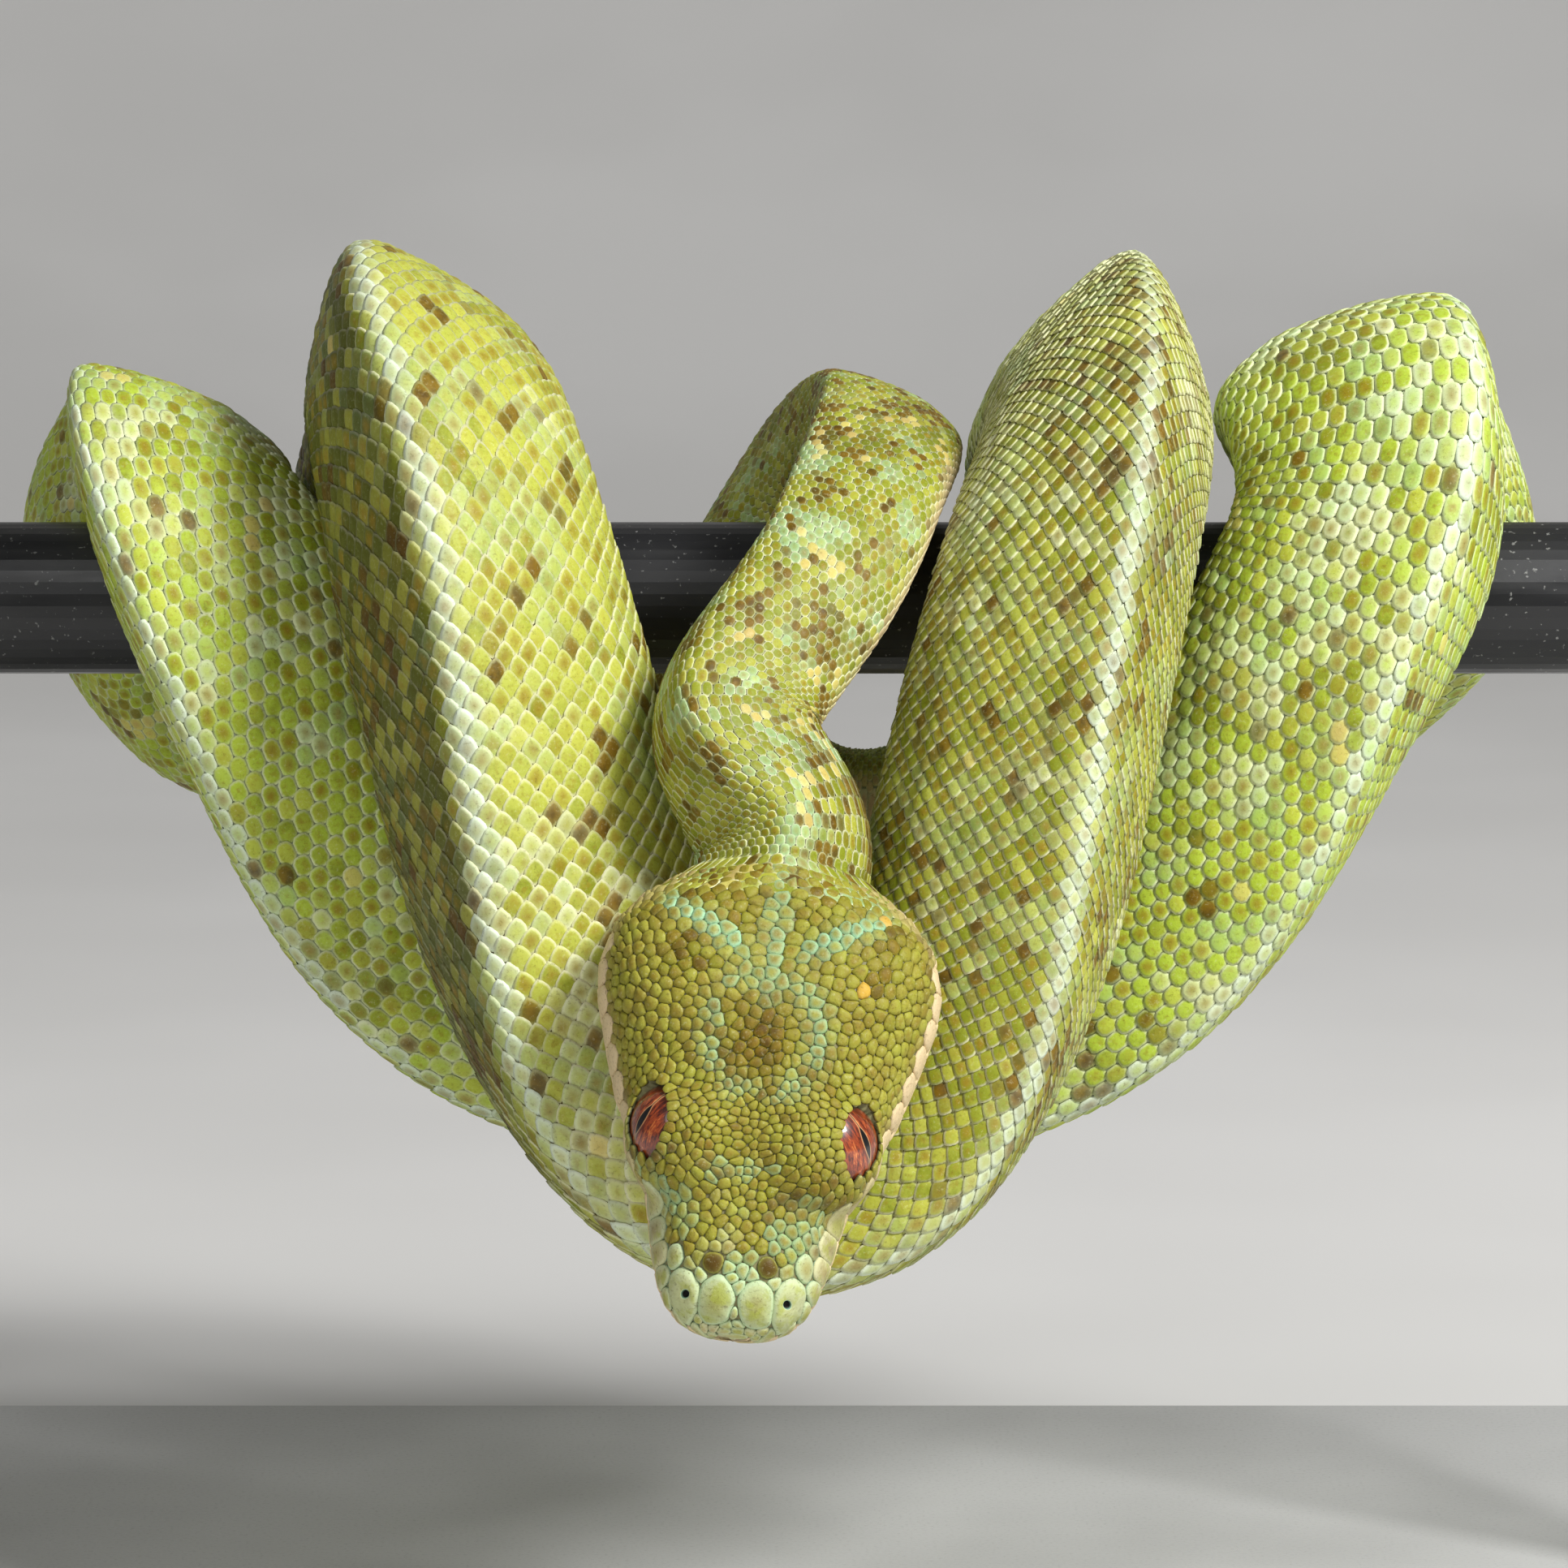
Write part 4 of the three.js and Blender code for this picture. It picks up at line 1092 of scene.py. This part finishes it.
def eye_material():
    n = Nodes("eye_copper_look")
    x, y = n.attribute("iris_x"), n.attribute("iris_y")
    c, s = cos(SLIT_TURN), sin(SLIT_TURN)
    dy = n.maths("SUBTRACT", y, -0.06)
    along = n.maths("ADD", n.times(x, c), n.times(dy, s))
    aside = n.maths("SUBTRACT", n.times(dy, c), n.times(x, s))
    streaks = {"X": n.times(aside, 9.0), "Y": n.times(along, 2.2), "Z": n.times(x, 1.3)}
    fibre = n.noise(1.5, 6.0, 0.65, vector=n.add("CombineXYZ", "Vector", streaks), distortion=0.6)
    radius = n.maths("SQRT", n.maths("ADD", n.times(x, x), n.times(y, y)))
    length = n.maths("DIVIDE", along, SLIT_LONG)
    width = n.times(n.maths("SUBTRACT", 1.0, n.times(length, length), clamp=True), SLIT_WIDE)
    over = n.maths("SUBTRACT", n.maths("ABSOLUTE", aside), width)
    colour = n.paint(
        IRIS_DARK, (IRIS, n.steps(fibre, 0.38, 0.62)), (IRIS_LIGHT, n.steps(fibre, 0.58, 0.72, 0.0, 0.8)),
        (IRIS_RIM, n.steps(radius, 0.68, 0.96, 0.0, 0.85)), (SLIT_RIM, n.steps(over, 0.06, 0.02, 0.0, 0.45)),
        (SLIT, n.steps(over, 0.022, 0.0)))
    return n.finish(Base_Color=colour, Roughness=0.35, Coat_Weight=1.0, Coat_Roughness=0.03, Coat_IOR=1.45)


def perch_material():
    n = Nodes("perch_black_look")
    dust = n.steps(n.noise(1400, 2, 0.5), 0.66, 0.74, 0.0, 0.55)
    film = n.steps(n.noise(60, 5, 0.6, (0.25, 1, 1)), 0.45, 0.7, 0.0, 0.09)
    colour = n.paint((0.01, 0.01, 0.011), ((0.3, 0.3, 0.29), n.maths("MAXIMUM", dust, film)))
    rough = n.steps(n.noise(120, 4, 0.6, (0.2, 1, 1)), 0.35, 0.7, 0.3, 0.52)
    n.bump(n.noise(700, 3), 0.12, 0.0001)
    return n.finish(Base_Color=colour, Roughness=rough, Specular_IOR_Level=0.5)


def stand_material():
    n = Nodes("stand_grey_look")
    fine, wide = n.noise(1600, 3, 0.6), n.noise(14, 3, 0.5)
    colour = n.paint((0.44, 0.44, 0.43), ((0.52, 0.52, 0.51), n.steps(wide, 0.35, 0.65)),
                     ((0.3, 0.3, 0.29), n.steps(fine, 0.55, 0.75, 0.0, 0.4)))
    n.bump(fine, 0.2, 0.00015)
    return n.finish(Base_Color=colour, Roughness=n.steps(fine, 0.3, 0.7, 0.5, 0.66))


def floor_material():
    n = Nodes("pale_floor")
    colour = n.paint((0.7, 0.69, 0.67), ((0.76, 0.75, 0.73), n.steps(n.noise(3, 3), 0.35, 0.65)))
    return n.finish(Base_Color=colour, Roughness=0.8)


# ---- the model
FLESH = ["head", "lower_jaw", "neck_front", "neck_rear", *(f"trunk_{i}" for i in range(1, 12)),
         "tail_1", "tail_2", "tail_tip"]
body_look, head_look = scale_material("green_scales_look"), scale_material("head_scales_look", head=True)

skin = tube_skin()
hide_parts(*FLESH)
body_pieces = [skin, *scale_pieces(), belly_plates()]
for pieces, look in ((body_pieces, body_look), (head_scales(), head_look)):
    for piece in pieces:
        piece.data.materials.append(look)
        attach(piece, "root")

iris = eye_material()
for node, sign in (("eye_left", 1), ("eye_right", -1)):
    ball = eye_piece(node + "_ball", sign)
    ball.data.materials.append(iris)
    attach(ball, "root")
    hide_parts(node)

stand_look = stand_material()
for node, look in (("perch_bar", perch_material()), ("stand_base", stand_look),
                   ("stand_rod_left", stand_look), ("stand_rod_right", stand_look)):
    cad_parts[node].material_slots[0].material = look


# ---- floor, light and camera
def turn_to(obj, aim):
    obj.rotation_euler = (Vector(aim) - Vector(obj.location)).to_track_quat("-Z", "Y").to_euler()


def light(name, kind, place, power, **shape):
    data = bpy.data.lights.new(name, kind)
    data.energy = power
    for key, value in shape.items():
        setattr(data, key, value)
    obj = put_in_scene(name, data)
    obj.location = place
    turn_to(obj, (0, 0, 0.125))


def studio_sweep():
    """A pale floor that curves up into the backdrop."""
    turns = np.linspace(0, pi / 2, 16)
    bend = [(-3.0, 0.0), *((1.2 + 1.2 * sin(a), 1.2 - 1.2 * cos(a)) for a in turns), (2.4, 4.0)]
    points = np.array([(x, y, z) for y, z in bend for x in (-4.0, 4.0)]) * 1000
    return make_mesh("sweep", points, [grid_quads(len(bend), 2)[:, ::-1]], {})


sweep = studio_sweep()
sweep.data.materials.append(floor_material())
light("key", "AREA", (0.76, -0.72, 1.02), 25, shape="SQUARE", size=0.42)
light("room", "SUN", (-0.5, -1.2, 1.1), 0.75, angle=0.6)
world = bpy.data.worlds.new("studio")
scene.world = world
world.use_nodes = True
backdrop = world.node_tree.nodes["Background"].inputs
backdrop["Color"].default_value = (0.95, 0.97, 1, 1)
backdrop["Strength"].default_value = 0.11

AIM_DROP, DISTANCE, ELEVATION, LENS = 0.0248, 0.8, radians(8), 138.63
camera = put_in_scene("camera", bpy.data.cameras.new("camera"))
aim = (0, 0, PERCH_HEIGHT * 0.001 - AIM_DROP)
camera.location = (0, -DISTANCE * cos(ELEVATION), aim[2] + DISTANCE * sin(ELEVATION))
turn_to(camera, aim)
camera.data.lens, camera.data.sensor_width, camera.data.clip_start = LENS, 36, 0.01
scene.camera = camera
scene.view_settings.view_transform = "Standard"
